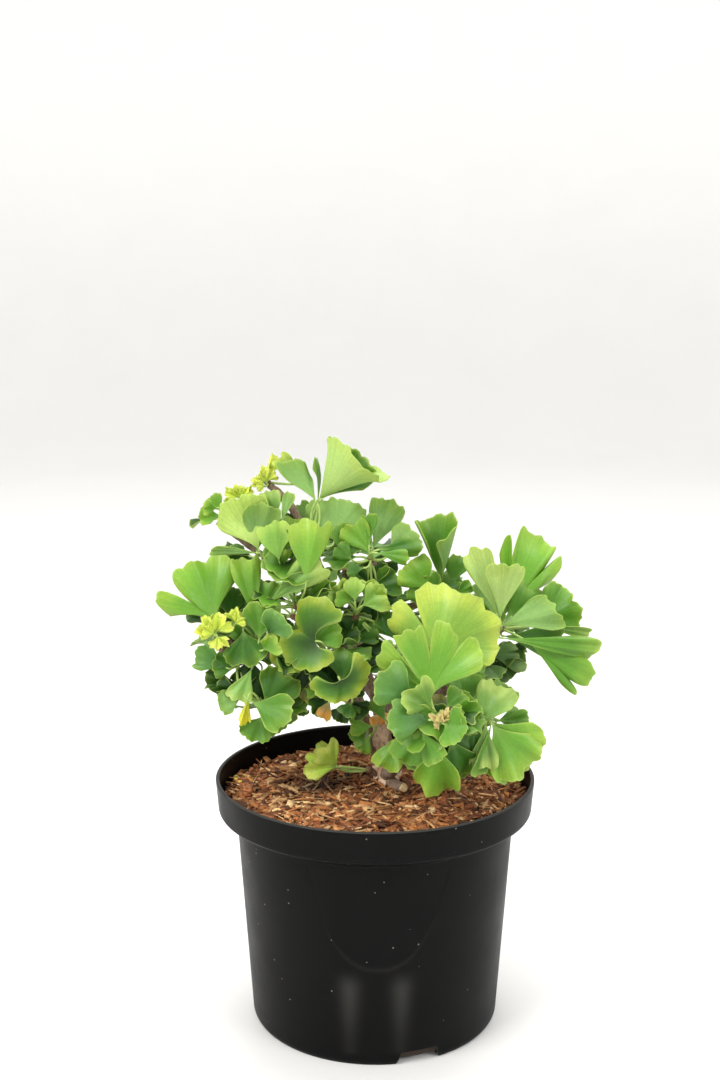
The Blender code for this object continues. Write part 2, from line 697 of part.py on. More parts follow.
            Leaf(foot=(268, 480, -18), tip=(276, 457, -18), spread=34, roll=0, cup=20, columns=4),
        ],
        tone="bud_yellow",
    ),
    "back_top_shoot": Shoot(
        twig=[(352, 612, -56), (350, 590, -54), (346, 574, -50)], leaves=[], hidden=4,
    ),
    "back_left_shoot": Shoot(
        twig=[(354, 640, -56), (320, 630, -58), (296, 618, -56)], leaves=[], hidden=4,
    ),
    "back_middle_shoot": Shoot(
        twig=[(376, 700, -50), (366, 688, -62), (358, 676, -70)], leaves=[], hidden=5,
    ),
    "back_right_shoot": Shoot(
        twig=[(440, 645, -52), (450, 632, -50), (456, 622, -48)], leaves=[], hidden=4,
    ),
    "back_low_shoot": Shoot(
        twig=[(400, 690, -50), (424, 690, -56), (440, 688, -60)], leaves=[], hidden=4,
    ),
}

TONES = {
    "leaf_green": (0.10, 0.28, 0.04),
    "bud_yellow": (0.62, 0.66, 0.10),
}


def columns_of(leaf):
    """Places across a blade, even but for a close set of three at each slit."""
    places = list(np.linspace(-1, 1, leaf.columns + 1))
    for slit, _, half in leaf.slits:
        places = [p for p in places if abs(p - slit) > half + SLIT_MARGIN or abs(p) == 1]
        places += [slit - half, slit, slit + half]
    return np.array(sorted(places))


def outline(leaf, across):
    """The margin's distance from the foot: 1, less rounded ends and V-shaped slits."""
    reach = (1 - MARGIN_ROUND * np.abs(across) ** 6) * (1 - leaf.taper * across**2)
    reach = reach * (1 + leaf.skew * across)
    for slit, depth, half in leaf.slits:
        reach = reach * (1 - depth * np.clip(1 - np.abs(across - slit) / half, 0, None))
    return reach


def blade_points(leaf, pose, across, out):
    """A fan rolled on a cone whose tip is the leaf's foot.

    With half angle beta, the line from the foot at the turn psi runs along
    axis cos(beta) + sin(beta) (side sin(psi) - back cos(psi)). The margin waves along
    the blade's normal, and the whole blade bends, by the square of the way out. Near the
    foot the fan is narrower by WAIST, so that its sides are a little hollow.
    """
    hollow = math.copysign(1.0, leaf.cup)
    beta = math.radians(90 - abs(leaf.cup))
    along, side = np.array(pose.along), np.array(pose.side)
    face = np.array(pose.face) * hollow
    axis = along * math.cos(beta) + face * math.sin(beta)
    back = face * math.cos(beta) - along * math.sin(beta)
    waist = 1 - WAIST * (1 - out[:, None]) ** 2
    psi = across[:, None] * waist * math.radians(leaf.spread / 2) / math.sin(beta)
    line = axis * math.cos(beta) + math.sin(beta) * (side * np.sin(psi) - back * np.cos(psi))
    normal = axis * math.sin(beta) + math.cos(beta) * (back * np.cos(psi) - side * np.sin(psi))
    wave = leaf.ruffle * np.sin(leaf.beats * math.pi * across + leaf.phase)
    reach = outline(leaf, across)
    return np.array(pose.foot) + pose.length * (
        line * (reach * out)[:, None] + normal * hollow * (wave * out**2)[:, None]
        + np.array(pose.face) * (leaf.bend * out**2)[:, None]
    )


def stalk_path(crown, pose):
    """The stalk's course out of the bud base, meeting the blade's foot along the blade."""
    reach = (pose.foot - crown).length
    knee = pose.foot - pose.along * STALK_BEND * reach
    start = crown + (knee - crown).normalized() * 0.5 * MM
    steps = (0.0, 0.55, 1.0) if reach < SHORT_STALK else (0.0, 0.4, 0.75, 1.0)
    return [start * (1 - t) ** 2 + knee * 2 * t * (1 - t) + pose.foot * t * t for t in steps]


def stalk_rows(path, side):
    """Left and right points of a stalk's flat middle surface."""
    rows = []
    for i, place in enumerate(path):
        way = (path[min(i + 1, len(path) - 1)] - path[max(i - 1, 0)]).normalized()
        half = (side - way * side.dot(way)).normalized() * STALK_WIDTH / 2
        rows += [place - half, place + half]
    return np.array([tuple(place) for place in rows])


def leaf_cage(leaf, pose, crown):
    """A leaf's middle surface: a strip for the stalk, a fan from its end, a strip of margin.

    Gives the points, the stalk's triangles and the blade's. The fan has half as many
    columns as the margin, unless the blade is slit.
    """
    stalk = stalk_rows(stalk_path(crown, pose), pose.side)
    margin = columns_of(leaf)
    step = 1 if leaf.slits else 2
    fan = margin[::step]
    rings = [
        blade_points(leaf, pose, across, np.full(len(across), out))
        for across, out in ((fan, MIDDLE_RING), (margin, 1.0))
    ]
    stem = []
    for left in range(0, len(stalk) - 2, 2):
        stem += [(left, left + 3, left + 2), (left, left + 1, left + 3)]
    foot = len(stalk) - 2
    middle = (len(fan) - 1) // 2
    blade = [(foot, foot + 1, foot + 2 + middle)]
    for i in range(len(fan) - 1):
        inner = foot + 2 + i
        outer = foot + 2 + len(fan) + step * i
        blade.append((foot if i < middle else foot + 1, inner + 1, inner))
        blade += [(inner, outer + k + 1, outer + k) for k in range(step)]
        blade.append((inner, inner + 1, outer + step))
    return np.vstack([stalk, *rings]), stem, blade


def pose_between(foot, tip, face, roll):
    """A leaf's place: its foot, the way to its tip, the way its upper face looks, its side."""
    along = (tip - foot).normalized()
    level = (face - along * face.dot(along)).normalized()
    side = along.cross(level)
    face = level * math.cos(roll) + side * math.sin(roll)
    return Pose(foot, along, face, along.cross(face), (tip - foot).length)


def leaf_poses(leaf):
    """The leaf where it shows, then moved nearer or farther, tilted a little, to find it room."""
    for shift in SHIFTS:
        for tilt in TILTS:
            foot = seen(*leaf.foot[:2], leaf.foot[2] + shift)
            tip = seen(*leaf.tip[:2], leaf.tip[2] + shift + tilt)
            yield pose_between(foot, tip, EYE - foot, math.radians(leaf.roll))


def hidden_leaf(crown, index, count, rng):
    """A leaf of a shoot's far side, and the places tried for it, round the shoot by even turns."""
    leaf = Leaf(
        foot=None, tip=None, spread=rng.uniform(*HIDDEN_SPREADS), cup=rng.uniform(*HIDDEN_CUPS),
        ruffle=rng.uniform(*HIDDEN_RUFFLES), phase=rng.uniform(0, 6),
    )
    stalk = rng.uniform(*HIDDEN_STALKS) * MM
    length = rng.uniform(*HIDDEN_LENGTHS) * MM
    first = math.radians(90 + (index + 0.5 - count / 2) * HIDDEN_ARC / count) + rng.uniform(-0.2, 0.2)
    rise = rng.uniform(*HIDDEN_RISES)

    def poses():
        for turn in HIDDEN_TURNS:
            for lift in HIDDEN_LIFTS:
                way = Vector((
                    math.cos(first + turn) * math.cos(rise + lift),
                    math.sin(first + turn) * math.cos(rise + lift),
                    math.sin(rise + lift),
                ))
                foot = crown + way * stalk
                tip = foot + (way + DROOP).normalized() * length
                yield pose_between(foot, tip, Vector((0, 0, 1)) + way * 0.2, 0.0)

    return leaf, poses()


def edge_samples(points, faces, spacing):
    """The corners of a mesh and points at even steps along its edges."""
    rows = [points]
    edges = {tuple(sorted(pair)) for face in faces for pair in zip(face, face[1:] + face[:1])}
    for first, last in edges:
        steps = int(np.linalg.norm(points[last] - points[first]) / spacing)
        t = (np.arange(steps)[:, None] + 1) / (steps + 1)
        rows.append(points[first] * (1 - t) + points[last] * t)
    return np.vstack(rows)


Solid = namedtuple("Solid", "owner samples whole blade low high")


class Room:
    """What already stands in the crown, for finding each new leaf a clear place."""

    def __init__(self):
        self.solids = []

    def solid(self, owner, points, faces, blade_faces=None):
        vectors = [Vector(p) for p in points]
        whole = BVHTree.FromPolygons(vectors, faces)
        blade = BVHTree.FromPolygons(vectors, blade_faces) if blade_faces else whole
        samples = edge_samples(points, faces, SAMPLE_STEP)
        return Solid(owner, samples, whole, blade, points.min(0), points.max(0))

    def add_object(self, owner, obj):
        points = np.array([obj.matrix_world @ v.co for v in obj.data.vertices])
        self.solids.append(self.solid(owner, points, [tuple(p.vertices) for p in obj.data.polygons]))

    def crossings(self, new):
        """How many solids of other owners, and of this one, a leaf would touch or cross."""
        others = own = 0
        for old in self.solids:
            if (new.low - CLEARANCE > old.high).any() or (new.high + CLEARANCE < old.low).any():
                continue
            if old.owner == new.owner:
                own += bool(new.blade.overlap(old.blade))
            elif new.whole.overlap(old.whole):
                others += 1
            else:
                gap = WOOD_CLEARANCE if old.owner == "wood" else CLEARANCE
                others += near(new, old, gap) or near(old, new, gap)
        return others, own


def near(one, other, gap):
    """Whether any sample of one solid lies within the gap of the other's surface."""
    close = ((one.samples > other.low - gap) & (one.samples < other.high + gap)).all(axis=1)
    return any(other.whole.find_nearest(p, gap)[0] is not None for p in one.samples[close])


def settle(name, leaf, poses, crown, room):
    """The first pose that crosses nothing, or else the one that crosses least."""
    best = None
    for pose in poses:
        points, stem, blade = leaf_cage(leaf, pose, crown)
        solid = room.solid(name, points, stem + blade, blade)
        crossed = room.crossings(solid)
        if best is None or crossed < best[0]:
            best = (crossed, pose, solid)
        if crossed == (0, 0):
            break
    room.solids.append(best[2])
    return best[1], best[0]


def leaf_object(leaf, pose, crown, bench):
    points, stem, blade = leaf_cage(leaf, pose, crown)
    mesh = bpy.data.meshes.new("leaf")
    mesh.from_pydata([tuple(point) for point in points], [], stem + blade)
    obj = object_from(mesh, "leaf", bench)
    shell = obj.modifiers.new("thickness", "SOLIDIFY")
    shell.thickness = BLADE
    shell.offset = -1 if leaf.cup > DEEP_CUP else 0
    return obj


def twig_path(shoot):
    return [seen(*point) for point in shoot.twig]


def crown_of(shoot):
    """The middle of the bud base at the end of a shoot's twig, and the way it points."""
    path = twig_path(shoot)
    way = (path[-1] - path[-2]).normalized()
    return path[-1] + way * (SEAT + BUD_HEIGHT / 2), way


def bud_base(name, shoot, bench):
    """The ring of bud scales that a shoot's leaves grow from, just off the twig's end."""
    centre, way = crown_of(shoot)
    mesh = bpy.data.meshes.new(name)
    cage = bmesh.new()
    bmesh.ops.create_cone(
        cage, cap_ends=True, segments=6, radius1=BUD_RADIUS, radius2=BUD_RADIUS * 0.7,
        depth=BUD_HEIGHT,
    )
    bmesh.ops.rotate(cage, verts=cage.verts, matrix=way.to_track_quat("Z", "Y").to_matrix())
    bmesh.ops.translate(cage, verts=cage.verts, vec=centre)
    cage.to_mesh(mesh)
    cage.free()
    return object_from(mesh, name, bench)


def build_wood(part, bench):
    """Trunk, branches and twigs as one piece of wood."""
    pieces = trunk_pieces(bench) + branch_pieces(bench)
    for name, shoot in SHOOTS.items():
        path = twig_path(shoot)
        radii = [TWIG_RADIUS * 1.25] + [TWIG_RADIUS] * (len(path) - 2) + [SPUR_RADIUS]
        pieces.append(tube(name + "_twig", path, radii, 0, bench))
    wood = fuse("trunk_and_branches", pieces, part, bench)
    wood.data.materials.append(material("ginkgo_bark", (0.20, 0.12, 0.07), 0.85))
    return wood


def build_shoots(part, bench, room):
    """Every shoot: bud bases first, then the leaves that show, then the hidden ones."""
    bases = {}
    for name, shoot in SHOOTS.items():
        bases[name] = bud_base(name, shoot, bench)
        room.add_object(name, bases[name])
    grown = {name: [] for name in SHOOTS}
    for name, shoot in SHOOTS.items():
        crown, _ = crown_of(shoot)
        for leaf in shoot.leaves:
            pose, _ = settle(name, leaf, leaf_poses(leaf), crown, room)
            grown[name].append((leaf, pose))
    for order, (name, shoot) in enumerate(SHOOTS.items()):
        crown, _ = crown_of(shoot)
        rng = random.Random(order)
        for index in range(shoot.hidden):
            leaf, poses = hidden_leaf(crown, index, shoot.hidden, rng)
            pose, crossed = settle(name, leaf, poses, crown, room)
            if crossed[0]:
                room.solids.pop()
                continue
            grown[name].append((leaf, pose))
    tones = {tone: material(tone, colour, 0.45) for tone, colour in TONES.items()}
    for name, shoot in SHOOTS.items():
        crown, _ = crown_of(shoot)
        pieces = [bases[name]]
        for leaf, pose in grown[name]:
            pieces.append(leaf_object(leaf, pose, crown, bench))
        body = fuse(name, pieces, part, bench)
        body.data.materials.clear()
        body.data.materials.append(tones[shoot.tone])


def main():
    clear_scene()
    part = new_collection(OBJECT_NAME)
    bench = new_collection("cutters")
    room = Room()
    for build in (build_pot, build_soil, build_bark):
        room.add_object("holder", build(part, bench))
    room.add_object("wood", build_wood(part, bench))
    build_shoots(part, bench, room)


main()
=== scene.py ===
"""A dwarf ginkgo bonsai in its nursery pot: the visible pieces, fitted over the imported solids.

Metres, +Z up, origin on the ground under the middle of the pot. Stems and leaves are placed
as an eye 0.77 m in front of the pot sees them, in units of a 720 by 1080 picture.
"""

import math
import random
from collections import namedtuple

import bpy
import numpy as np
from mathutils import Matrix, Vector
from mathutils.bvhtree import BVHTree


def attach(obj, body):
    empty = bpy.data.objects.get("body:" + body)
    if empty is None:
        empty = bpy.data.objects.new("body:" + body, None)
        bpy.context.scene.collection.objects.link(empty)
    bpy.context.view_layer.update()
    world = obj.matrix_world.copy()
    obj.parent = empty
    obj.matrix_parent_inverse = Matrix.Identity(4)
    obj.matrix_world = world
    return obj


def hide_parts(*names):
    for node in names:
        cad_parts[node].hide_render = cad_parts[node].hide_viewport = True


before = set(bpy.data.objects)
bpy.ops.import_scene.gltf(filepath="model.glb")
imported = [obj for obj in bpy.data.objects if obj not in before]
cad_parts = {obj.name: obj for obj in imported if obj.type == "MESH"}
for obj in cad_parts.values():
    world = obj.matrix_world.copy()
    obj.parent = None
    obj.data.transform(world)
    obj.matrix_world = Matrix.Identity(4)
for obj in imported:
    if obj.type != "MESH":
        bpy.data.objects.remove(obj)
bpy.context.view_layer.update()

# The pot: a thin-walled nursery pot, injection moulded in black polypropylene. A rim band
# stiffens its mouth, a shallow arch is moulded on its front, and three notches at the foot
# of the wall let water out.

MM = 0.001
POT_FLOOR_HEIGHT = 1.6
POT_PROFILE = [
    (0, 1.6, 0), (63.1, 1.6, 0.8), (65.35, 3.6, 0.8), (72.8, 112.2, 1.5), (82.4, 116.6, 1.5),
    (83.0, 131.0, 0.5), (83.0, 132.8, 0.1), (83.5, 133.0, 0.1), (84.5, 133.0, 0.25),
    (85.0, 132.5, 0.25), (84.75, 129.6, 0.4), (83.6, 116.0, 1.2), (74.0, 111.0, 0.9),
    (66.44, 2.0, 0.9), (65.3, 0.0, 0.3), (0, 0, 0),
]
"""The section's corners from the floor's middle, over the lip, to the foot's middle: radius,
height and rounding. The pot's lengths are in mm and its turns in degrees."""

POT_LONGEST = 1.4
FRONT_HALF = 42
FRONT_STEP = 0.5
BACK_POINTS = 116
WALL_FROM = (5, 9)
WALL_TO = (104, 109)
ARCH_FOOT = 54.0
ARCH_TURN = 1.0
ARCH_SQUARE = 0.03
ARCH_FOURTH = 0.000035
ARCH_SIDES = (30, 40)
ARCH_RECESS = 0.22
ARCH_BEAD = 0.2
FLUTE_TURNS = (-12.0, 9.8)
FLUTE_RISE = 0.55
FLUTE_WIDTH = 3.6
FLUTE_TOP = (42, 55)
LIP_FROM = 132.4
LIP_PALE = 0.8
NOTCH_TURNS = (19.5, 139.5, 259.5)
NOTCH_FOOT = (-2.0, 12.5)
NOTCH_TOP = (7.0, 9.5)
NOTCH_REACH = (75.3, 57.3)


def unit(vectors):
    """Vectors of an array divided by their lengths."""
    return vectors / np.linalg.norm(vectors, axis=-1, keepdims=True)


def eased(value, low, high):
    """0 below low, 1 above high, and between them 3 t squared less 2 t cubed."""
    t = np.clip((value - low) / (high - low), 0, 1)
    return t * t * (3 - 2 * t)


def rough(points, size, seed):
    """Smooth noise from -1 to 1.

    Each corner of a lattice of that cell size gets a value from the sine of its whole
    coordinates, and the eight round a point are blended by its eased place in the cell.
    """
    cells = points / size
    base = np.floor(cells)
    t = cells - base
    t = t * t * (3 - 2 * t)
    total = np.zeros(points.shape[:-1])
    for corner in np.ndindex(2, 2, 2):
        at = base + np.array(corner)
        value = np.sin(at @ np.array([127.1, 311.7, 74.7]) + seed * 17.3) * 43758.5453
        value = 2 * (value - np.floor(value)) - 1
        total += value * np.prod(np.where(np.array(corner) == 1, t, 1 - t), axis=-1)
    return total


def rounded(profile, steps, longest):
    """A profile whose corners are quadratic curves, with a point at least every longest mm.

    Each curve starts and ends its row's rounding away from the corner, which is its control
    point.
    """
    rows = np.array(profile, float)
    t = np.linspace(0, 1, steps)[:, None]
    line = [rows[:1, :2]]
    for before, corner, after in zip(rows, rows[1:], rows[2:]):
        first = corner[:2] + unit(before[:2] - corner[:2]) * corner[2]
        last = corner[:2] + unit(after[:2] - corner[:2]) * corner[2]
        line.append(first * (1 - t) ** 2 + corner[:2] * 2 * t * (1 - t) + last * t**2)
    line = np.vstack([*line, rows[-1:, :2]])
    gaps = np.linalg.norm(np.diff(line, axis=0), axis=1)
    full = [line[:1]]
    for start, end, gap in zip(line, line[1:], gaps):
        count = max(1, math.ceil(gap / longest))
        part = np.arange(1, count + 1)[:, None] / count
        full.append(start * (1 - part) + end * part)
    return np.vstack(full)


def grid_faces(rows, columns, closed):
    """Four-sided faces of a grid whose point in row i and column j has number i columns + j.

    A closed grid joins its last column to its first.
    """
    i, j = np.meshgrid(np.arange(rows - 1), np.arange(columns - (not closed)), indexing="ij")
    here, right = i * columns + j, i * columns + (j + 1) % columns
    return np.stack([here, right, right + columns, here + columns], axis=-1).reshape(-1, 4)


def fan_faces(ring, pole, outward):
    """Triangles from a pole to each side of a closed ring of point numbers."""
    ring = np.asarray(ring)
    ends = (ring, np.roll(ring, -1)) if outward else (np.roll(ring, -1), ring)
    return np.stack([*ends, np.full(len(ring), pole)], axis=-1)


Part = namedtuple("Part", "points faces tone uv finish", defaults=(None, None, 0))


def make_piece(name, parts, finishes):
    """One object at the origin out of parts: points, arrays of faces, a tone and a UV place.

    Each part's faces are moved on by the number of points before it.
    """
    points, faces, kinds, tones, places, start = [], [], [], [], [], 0
    for part in parts:
        count = len(part.points)
        points.append(part.points)
        for group in part.faces:
            faces += (group + start).tolist()
            kinds.append(np.full(len(group), part.finish))
        tones.append(np.ones((count, 4)) if part.tone is None else part.tone)
        places.append(np.zeros((count, 2)) if part.uv is None else part.uv)
        start += count
    mesh = bpy.data.meshes.new(name)
    mesh.from_pydata(np.vstack(points), [], faces)
    mesh.polygons.foreach_set("material_index", np.concatenate(kinds).astype(np.int32))
    tone = mesh.color_attributes.new("tone", "FLOAT_COLOR", "POINT")
    tone.data.foreach_set("color", np.vstack(tones).astype(np.float32).ravel())
    corners = np.empty(len(mesh.loops), np.int32)
    mesh.loops.foreach_get("vertex_index", corners)
    layer = mesh.uv_layers.new(name="along")
    layer.data.foreach_set("uv", np.vstack(places)[corners].astype(np.float32).ravel())
    mesh.shade_smooth()
    for finish in finishes:
        mesh.materials.append(finish)
    piece = bpy.data.objects.new(name, mesh)
    bpy.context.scene.collection.objects.link(piece)
    return piece


def new_finish(name, **sockets):
    """A node material and its Principled shader, with the sockets given."""
    finish = bpy.data.materials.new(name)
    finish.use_nodes = True
    shader = finish.node_tree.nodes["Principled BSDF"]
    for socket, value in sockets.items():
        shader.inputs[socket.replace("_", " ")].default_value = value
    return finish, shader


def add(tree, kind, fields=(), **sockets):
    """A node with its fields set; a socket named _0, _1 by number or Two_Words is linked or set."""
    node = tree.nodes.new("ShaderNode" + kind)
    for field, value in dict(fields).items():
        setattr(node, field, value)
    for name, value in sockets.items():
        socket = node.inputs[int(name[1:]) if name[0] == "_" else name.replace("_", " ")]
        if isinstance(value, bpy.types.NodeSocket):
            tree.links.new(value, socket)
        else:
            socket.default_value = value
    return node


def blend(tree, factor, first, second, kind="MIX"):
    """The colour between two, by a factor."""
    fields = {"data_type": "RGBA", "blend_type": kind}
    return add(tree, "Mix", fields, _0=factor, _6=first, _7=second).outputs[2]


def sum_of(tree, operation, first, second):
    """Two values put together by the operation named."""
    return add(tree, "Math", {"operation": operation}, _0=first, _1=second).outputs[0]


def band(tree, value, low, high, first=0.0, last=1.0):
    """A value carried from low..high to first..last, and held at the ends."""
    return add(tree, "MapRange", _0=value, _1=low, _2=high, _3=first, _4=last).outputs[0]


def noise(tree, place, scale, detail, roughness=0.5):
    """Blender's own noise at a place, with cells of one unit divided by the scale."""
    sockets = {"Vector": place, "Scale": scale, "Detail": detail, "Roughness": roughness}
    return add(tree, "TexNoise", **sockets).outputs[0]


def raised(tree, height, distance, strength=1.0):
    """The normal of a surface whose height is that value."""
    return add(tree, "Bump", Height=height, Distance=distance, Strength=strength).outputs[0]


def turned_pot():
    """The pot's profile turned about its axis, closed at the middle of its floor and foot.

    The outer wall moves in by ARCH_RECESS above an arch, out by a bead along the arch, and
    out in two soft flutes below it. The arch's height is its foot's, plus ARCH_SQUARE times
    the square of the turn from its middle in degrees, plus ARCH_FOURTH times its fourth
    power. The tone is painted highlight: soft pale streaks down the flutes and a pale line
    along the arch, where glossy plastic would catch the lights. It also makes the lip's top
    paler.
    """
    radius, height = rounded(POT_PROFILE, 5, POT_LONGEST)[1:-1].T
    front = np.arange(-FRONT_HALF, FRONT_HALF, FRONT_STEP)
    back = np.linspace(FRONT_HALF, 360 - FRONT_HALF, BACK_POINTS)
    turn = np.concatenate([front, back[:-1]])
    outer = np.arange(len(radius)) > np.argmax(radius)
    off = turn[None] - ARCH_TURN
    off = np.where(off > 180, off - 360, off)
    above = height[:, None] - (ARCH_FOOT + ARCH_SQUARE * off**2 + ARCH_FOURTH * off**4)
    wall = (outer * eased(height, *WALL_FROM) * (1 - eased(height, *WALL_TO)))[:, None]
    near = 1 - eased(np.abs(off), *ARCH_SIDES)
    relief = ARCH_BEAD * np.exp(-((above / 0.9) ** 2)) - ARCH_RECESS * eased(above, -0.4, 0.8)
    # Painted highlight: a pale line along the arch, where its bead would catch the light.
    sheen_and_pale_lip = 0.2 * np.exp(-((above / 1.1) ** 2)) * np.exp(-((off / 24) ** 4))
    for flute in FLUTE_TURNS:
        fade = 1 - eased(height, *FLUTE_TOP)[:, None]
        relief = relief + FLUTE_RISE * fade * np.exp(-(((off - flute) / FLUTE_WIDTH) ** 2))
        # Painted highlight: a soft pale streak down each flute.
        flute_sheen = fade * (0.2 + 0.5 * eased(height, 10, 46)[:, None])
        sheen_and_pale_lip = sheen_and_pale_lip + flute_sheen * np.exp(-(((off - flute) / (2.9 + 0.03 * height[:, None])) ** 2))
    # The lip's top is made paler too.
    sheen_and_pale_lip = sheen_and_pale_lip * wall * near + LIP_PALE * (height > LIP_FROM)[:, None]
    spread = radius[:, None] + relief * wall * near
    angle = np.radians(turn)[None]
    tall = np.repeat(height[:, None], len(turn), 1)
    ring = np.stack([spread * np.sin(angle), -spread * np.cos(angle), tall], axis=-1)
    rows, columns = ring.shape[:2]
    points = np.vstack([ring.reshape(-1, 3), [[0, 0, POT_FLOOR_HEIGHT], [0, 0, 0]]]) * MM
    sheen_and_pale_lip = np.concatenate([np.clip(sheen_and_pale_lip, 0, 1).ravel(), [0, 0]])
    last = (rows - 1) * columns
    faces = [
        grid_faces(rows, columns, True)[:, ::-1],
        fan_faces(np.arange(columns), rows * columns, True),
        fan_faces(np.arange(last, last + columns), rows * columns + 1, False),
    ]
    return Part(points, faces, np.repeat(sheen_and_pale_lip[:, None], 4, axis=1))


def notch_cutter(turn):
    """A wedge-sided block through the foot of the wall, wider below, turned about the axis."""
    out, near = NOTCH_REACH
    corners = np.array([
        (x * half, y, z) for z, half in (NOTCH_FOOT, NOTCH_TOP)
        for x, y in ((-1, -out), (1, -out), (1, -near), (-1, -near))
    ])
    angle = math.radians(turn)
    spin = np.array([
        (math.cos(angle), -math.sin(angle), 0), (math.sin(angle), math.cos(angle), 0), (0, 0, 1),
    ])
    sides = [(0, 1, 5, 4), (1, 2, 6, 5), (2, 3, 7, 6), (3, 0, 4, 7), (3, 2, 1, 0), (4, 5, 6, 7)]
    return Part(corners @ spin.T * MM, [np.array(sides)], np.zeros((8, 4)))


pot_black, shader = new_finish("pot_black", Specular_IOR_Level=0.07)
tree = pot_black.node_tree
place = add(tree, "TexCoord").outputs["Object"]
cloud = noise(tree, place, 38.0, 5.0, 0.6)
grain = noise(tree, place, 1500.0, 2.0)
cell = add(tree, "TexVoronoi", {"feature": "F1"}, Vector=place, Scale=230.0, Randomness=1.0)
speck = sum_of(tree, "LESS_THAN", cell.outputs["Distance"], 0.085)
chosen = add(tree, "SeparateColor", Color=cell.outputs["Color"]).outputs[0]
speck = sum_of(tree, "MULTIPLY", speck, sum_of(tree, "GREATER_THAN", chosen, 0.84))
black = blend(tree, cloud, (0.0020, 0.0021, 0.0023, 1), (0.0046, 0.0045, 0.0044, 1))
# The tone blends the black towards grey: painted highlight on the flutes and the arch's line, and a
# paler lip top.
tone = add(tree, "Attribute", {"attribute_name": "tone"}).outputs["Fac"]
black = blend(tree, tone, black, (0.036, 0.036, 0.033, 1))
tree.links.new(blend(tree, speck, black, (0.20, 0.18, 0.15, 1)), shader.inputs["Base Color"])
tree.links.new(band(tree, cloud, 0.3, 0.7, 0.34, 0.48), shader.inputs["Roughness"])
tree.links.new(raised(tree, grain, 0.00004, 0.6), shader.inputs["Normal"])

pot = make_piece("nursery_pot", [turned_pot()], [pot_black])
cutter = make_piece("notch_cutters", [notch_cutter(turn) for turn in NOTCH_TURNS], [pot_black])
cut = pot.modifiers.new("notches", "BOOLEAN")
cut.operation = "DIFFERENCE"
cut.solver = "EXACT"
cut.object = cutter
finished = bpy.data.meshes.new_from_object(pot.evaluated_get(bpy.context.evaluated_depsgraph_get()))
pot.modifiers.clear()
pot.data = finished
bpy.data.objects.remove(cutter, do_unlink=True)
pot.data.shade_smooth()
pot.data.set_sharp_from_angle(angle=math.radians(38))
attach(pot, "root")
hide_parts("pot")

# The potting soil: peat and compost round the root ball, filled into the pot and firmed by
# hand. The bark hides it but for a few places, so the solid's own mesh is kept.

soil_finish, shader = new_finish("dark_compost_crumb", Roughness=0.95)
tree = soil_finish.node_tree
place = add(tree, "TexCoord").outputs["Object"]
crumb = noise(tree, place, 420.0, 6.0, 0.7)
earth = blend(tree, crumb, (0.006, 0.004, 0.003, 1), (0.060, 0.036, 0.022, 1))
tree.links.new(earth, shader.inputs["Base Color"])
tree.links.new(raised(tree, crumb, 0.0012), shader.inputs["Normal"])
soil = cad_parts["potting_soil"]
soil.data.materials.clear()
soil.data.materials.append(soil_finish)

# The bark mulch: shredded conifer bark, spread loose over the soil by hand. It lies as flat
# reddish flakes, long torn fibres and crumbs, with a dark patch of fine roots left of the
# trunk.

TRUNK_PLACE = np.array([6.0, 12.0])
BED_RIM = 81.5
BED_HOLE = 8.0
BED_TOP = 122.4
BED_FALL = 2.2
BED_UNDER = 116.9
SIGHT_HEIGHT = 121.0
STREWN_REACH = 80.0
STREWN_LIMIT = 81.9
TRUNK_CLEAR = 9.0
CHIP_LIFT = 2.6
CHIP_HALF = 0.8
BARK_TONES = np.array([
    (0.30, 0.110, 0.038), (0.22, 0.072, 0.026), (0.43, 0.195, 0.072), (0.13, 0.045, 0.018),
    (0.58, 0.340, 0.150), (0.080, 0.034, 0.016), (0.42, 0.165, 0.05), (0.70, 0.47, 0.24),
])
BARK_SHARES = np.array([0.20, 0.15, 0.17, 0.12, 0.11, 0.09, 0.12, 0.04])
BARK_SORTS = [
    (1900, 21, (4, 15), (2.2, 6.4), (0.7, 2.0), 0.26, (-0.4, 2.0), 0.16),
    (2400, 22, (1.5, 5), (1.0, 2.8), (0.7, 2.0), 0.5, (0.2, 2.4), 0.24),
    (1300, 23, (6, 20), (0.5, 1.5), (0.3, 0.8), 0.2, (0.6, 2.9), 0.2),
]
"""Flakes, crumbs and fibres: how many, the seed, the spans of length, width and thickness,
the tilt in radians, the span of lift over the bed, and how ragged."""

EYE = np.array([-8.0, -766.0, 407.3])
EYE_PITCH = math.radians(10.88)
EYE_REACH = 1500.0
PICTURE_MIDDLE = (360.0, 540.0)


def eye_way(across, down):
    """The way from the eye through a place in the picture: its offsets from the middle over
    the eye's reach, turned down by the eye's pitch."""
    a = (np.asarray(across, float) - PICTURE_MIDDLE[0]) / EYE_REACH
    b = (PICTURE_MIDDLE[1] - np.asarray(down, float)) / EYE_REACH
    sine, cosine = math.sin(EYE_PITCH), math.cos(EYE_PITCH)
    return np.stack([a, cosine + b * sine, -sine + b * cosine], axis=-1)


def on_bark(across, down):
    """Where a level at the bark's mean height shows at a place in the picture, in mm."""
    way = eye_way(across, down)
    return (EYE + way * ((SIGHT_HEIGHT - EYE[2]) / way[..., 2:]))[..., :2]


ROOT_PATCH = on_bark(322, 788)


def bark_height(x, y):
    """The bed's height: its top, less its fall times the square of the way out, with two
    waves of noise, and a hollow round the fine roots."""
    place = np.stack([x, y, np.zeros_like(x)], axis=-1)
    bed = BED_TOP - BED_FALL * (x * x + y * y) / 85.0**2
    bed = bed + 1.1 * rough(place, 13.0, 3) + 0.7 * rough(place, 4.0, 5)
    hollow = np.exp(-((x - ROOT_PATCH[0]) ** 2 + (y - ROOT_PATCH[1]) ** 2) / 14.0**2)
    return bed - 1.6 * hollow - 1.0 * eased(np.hypot(x, y), 70, 82)


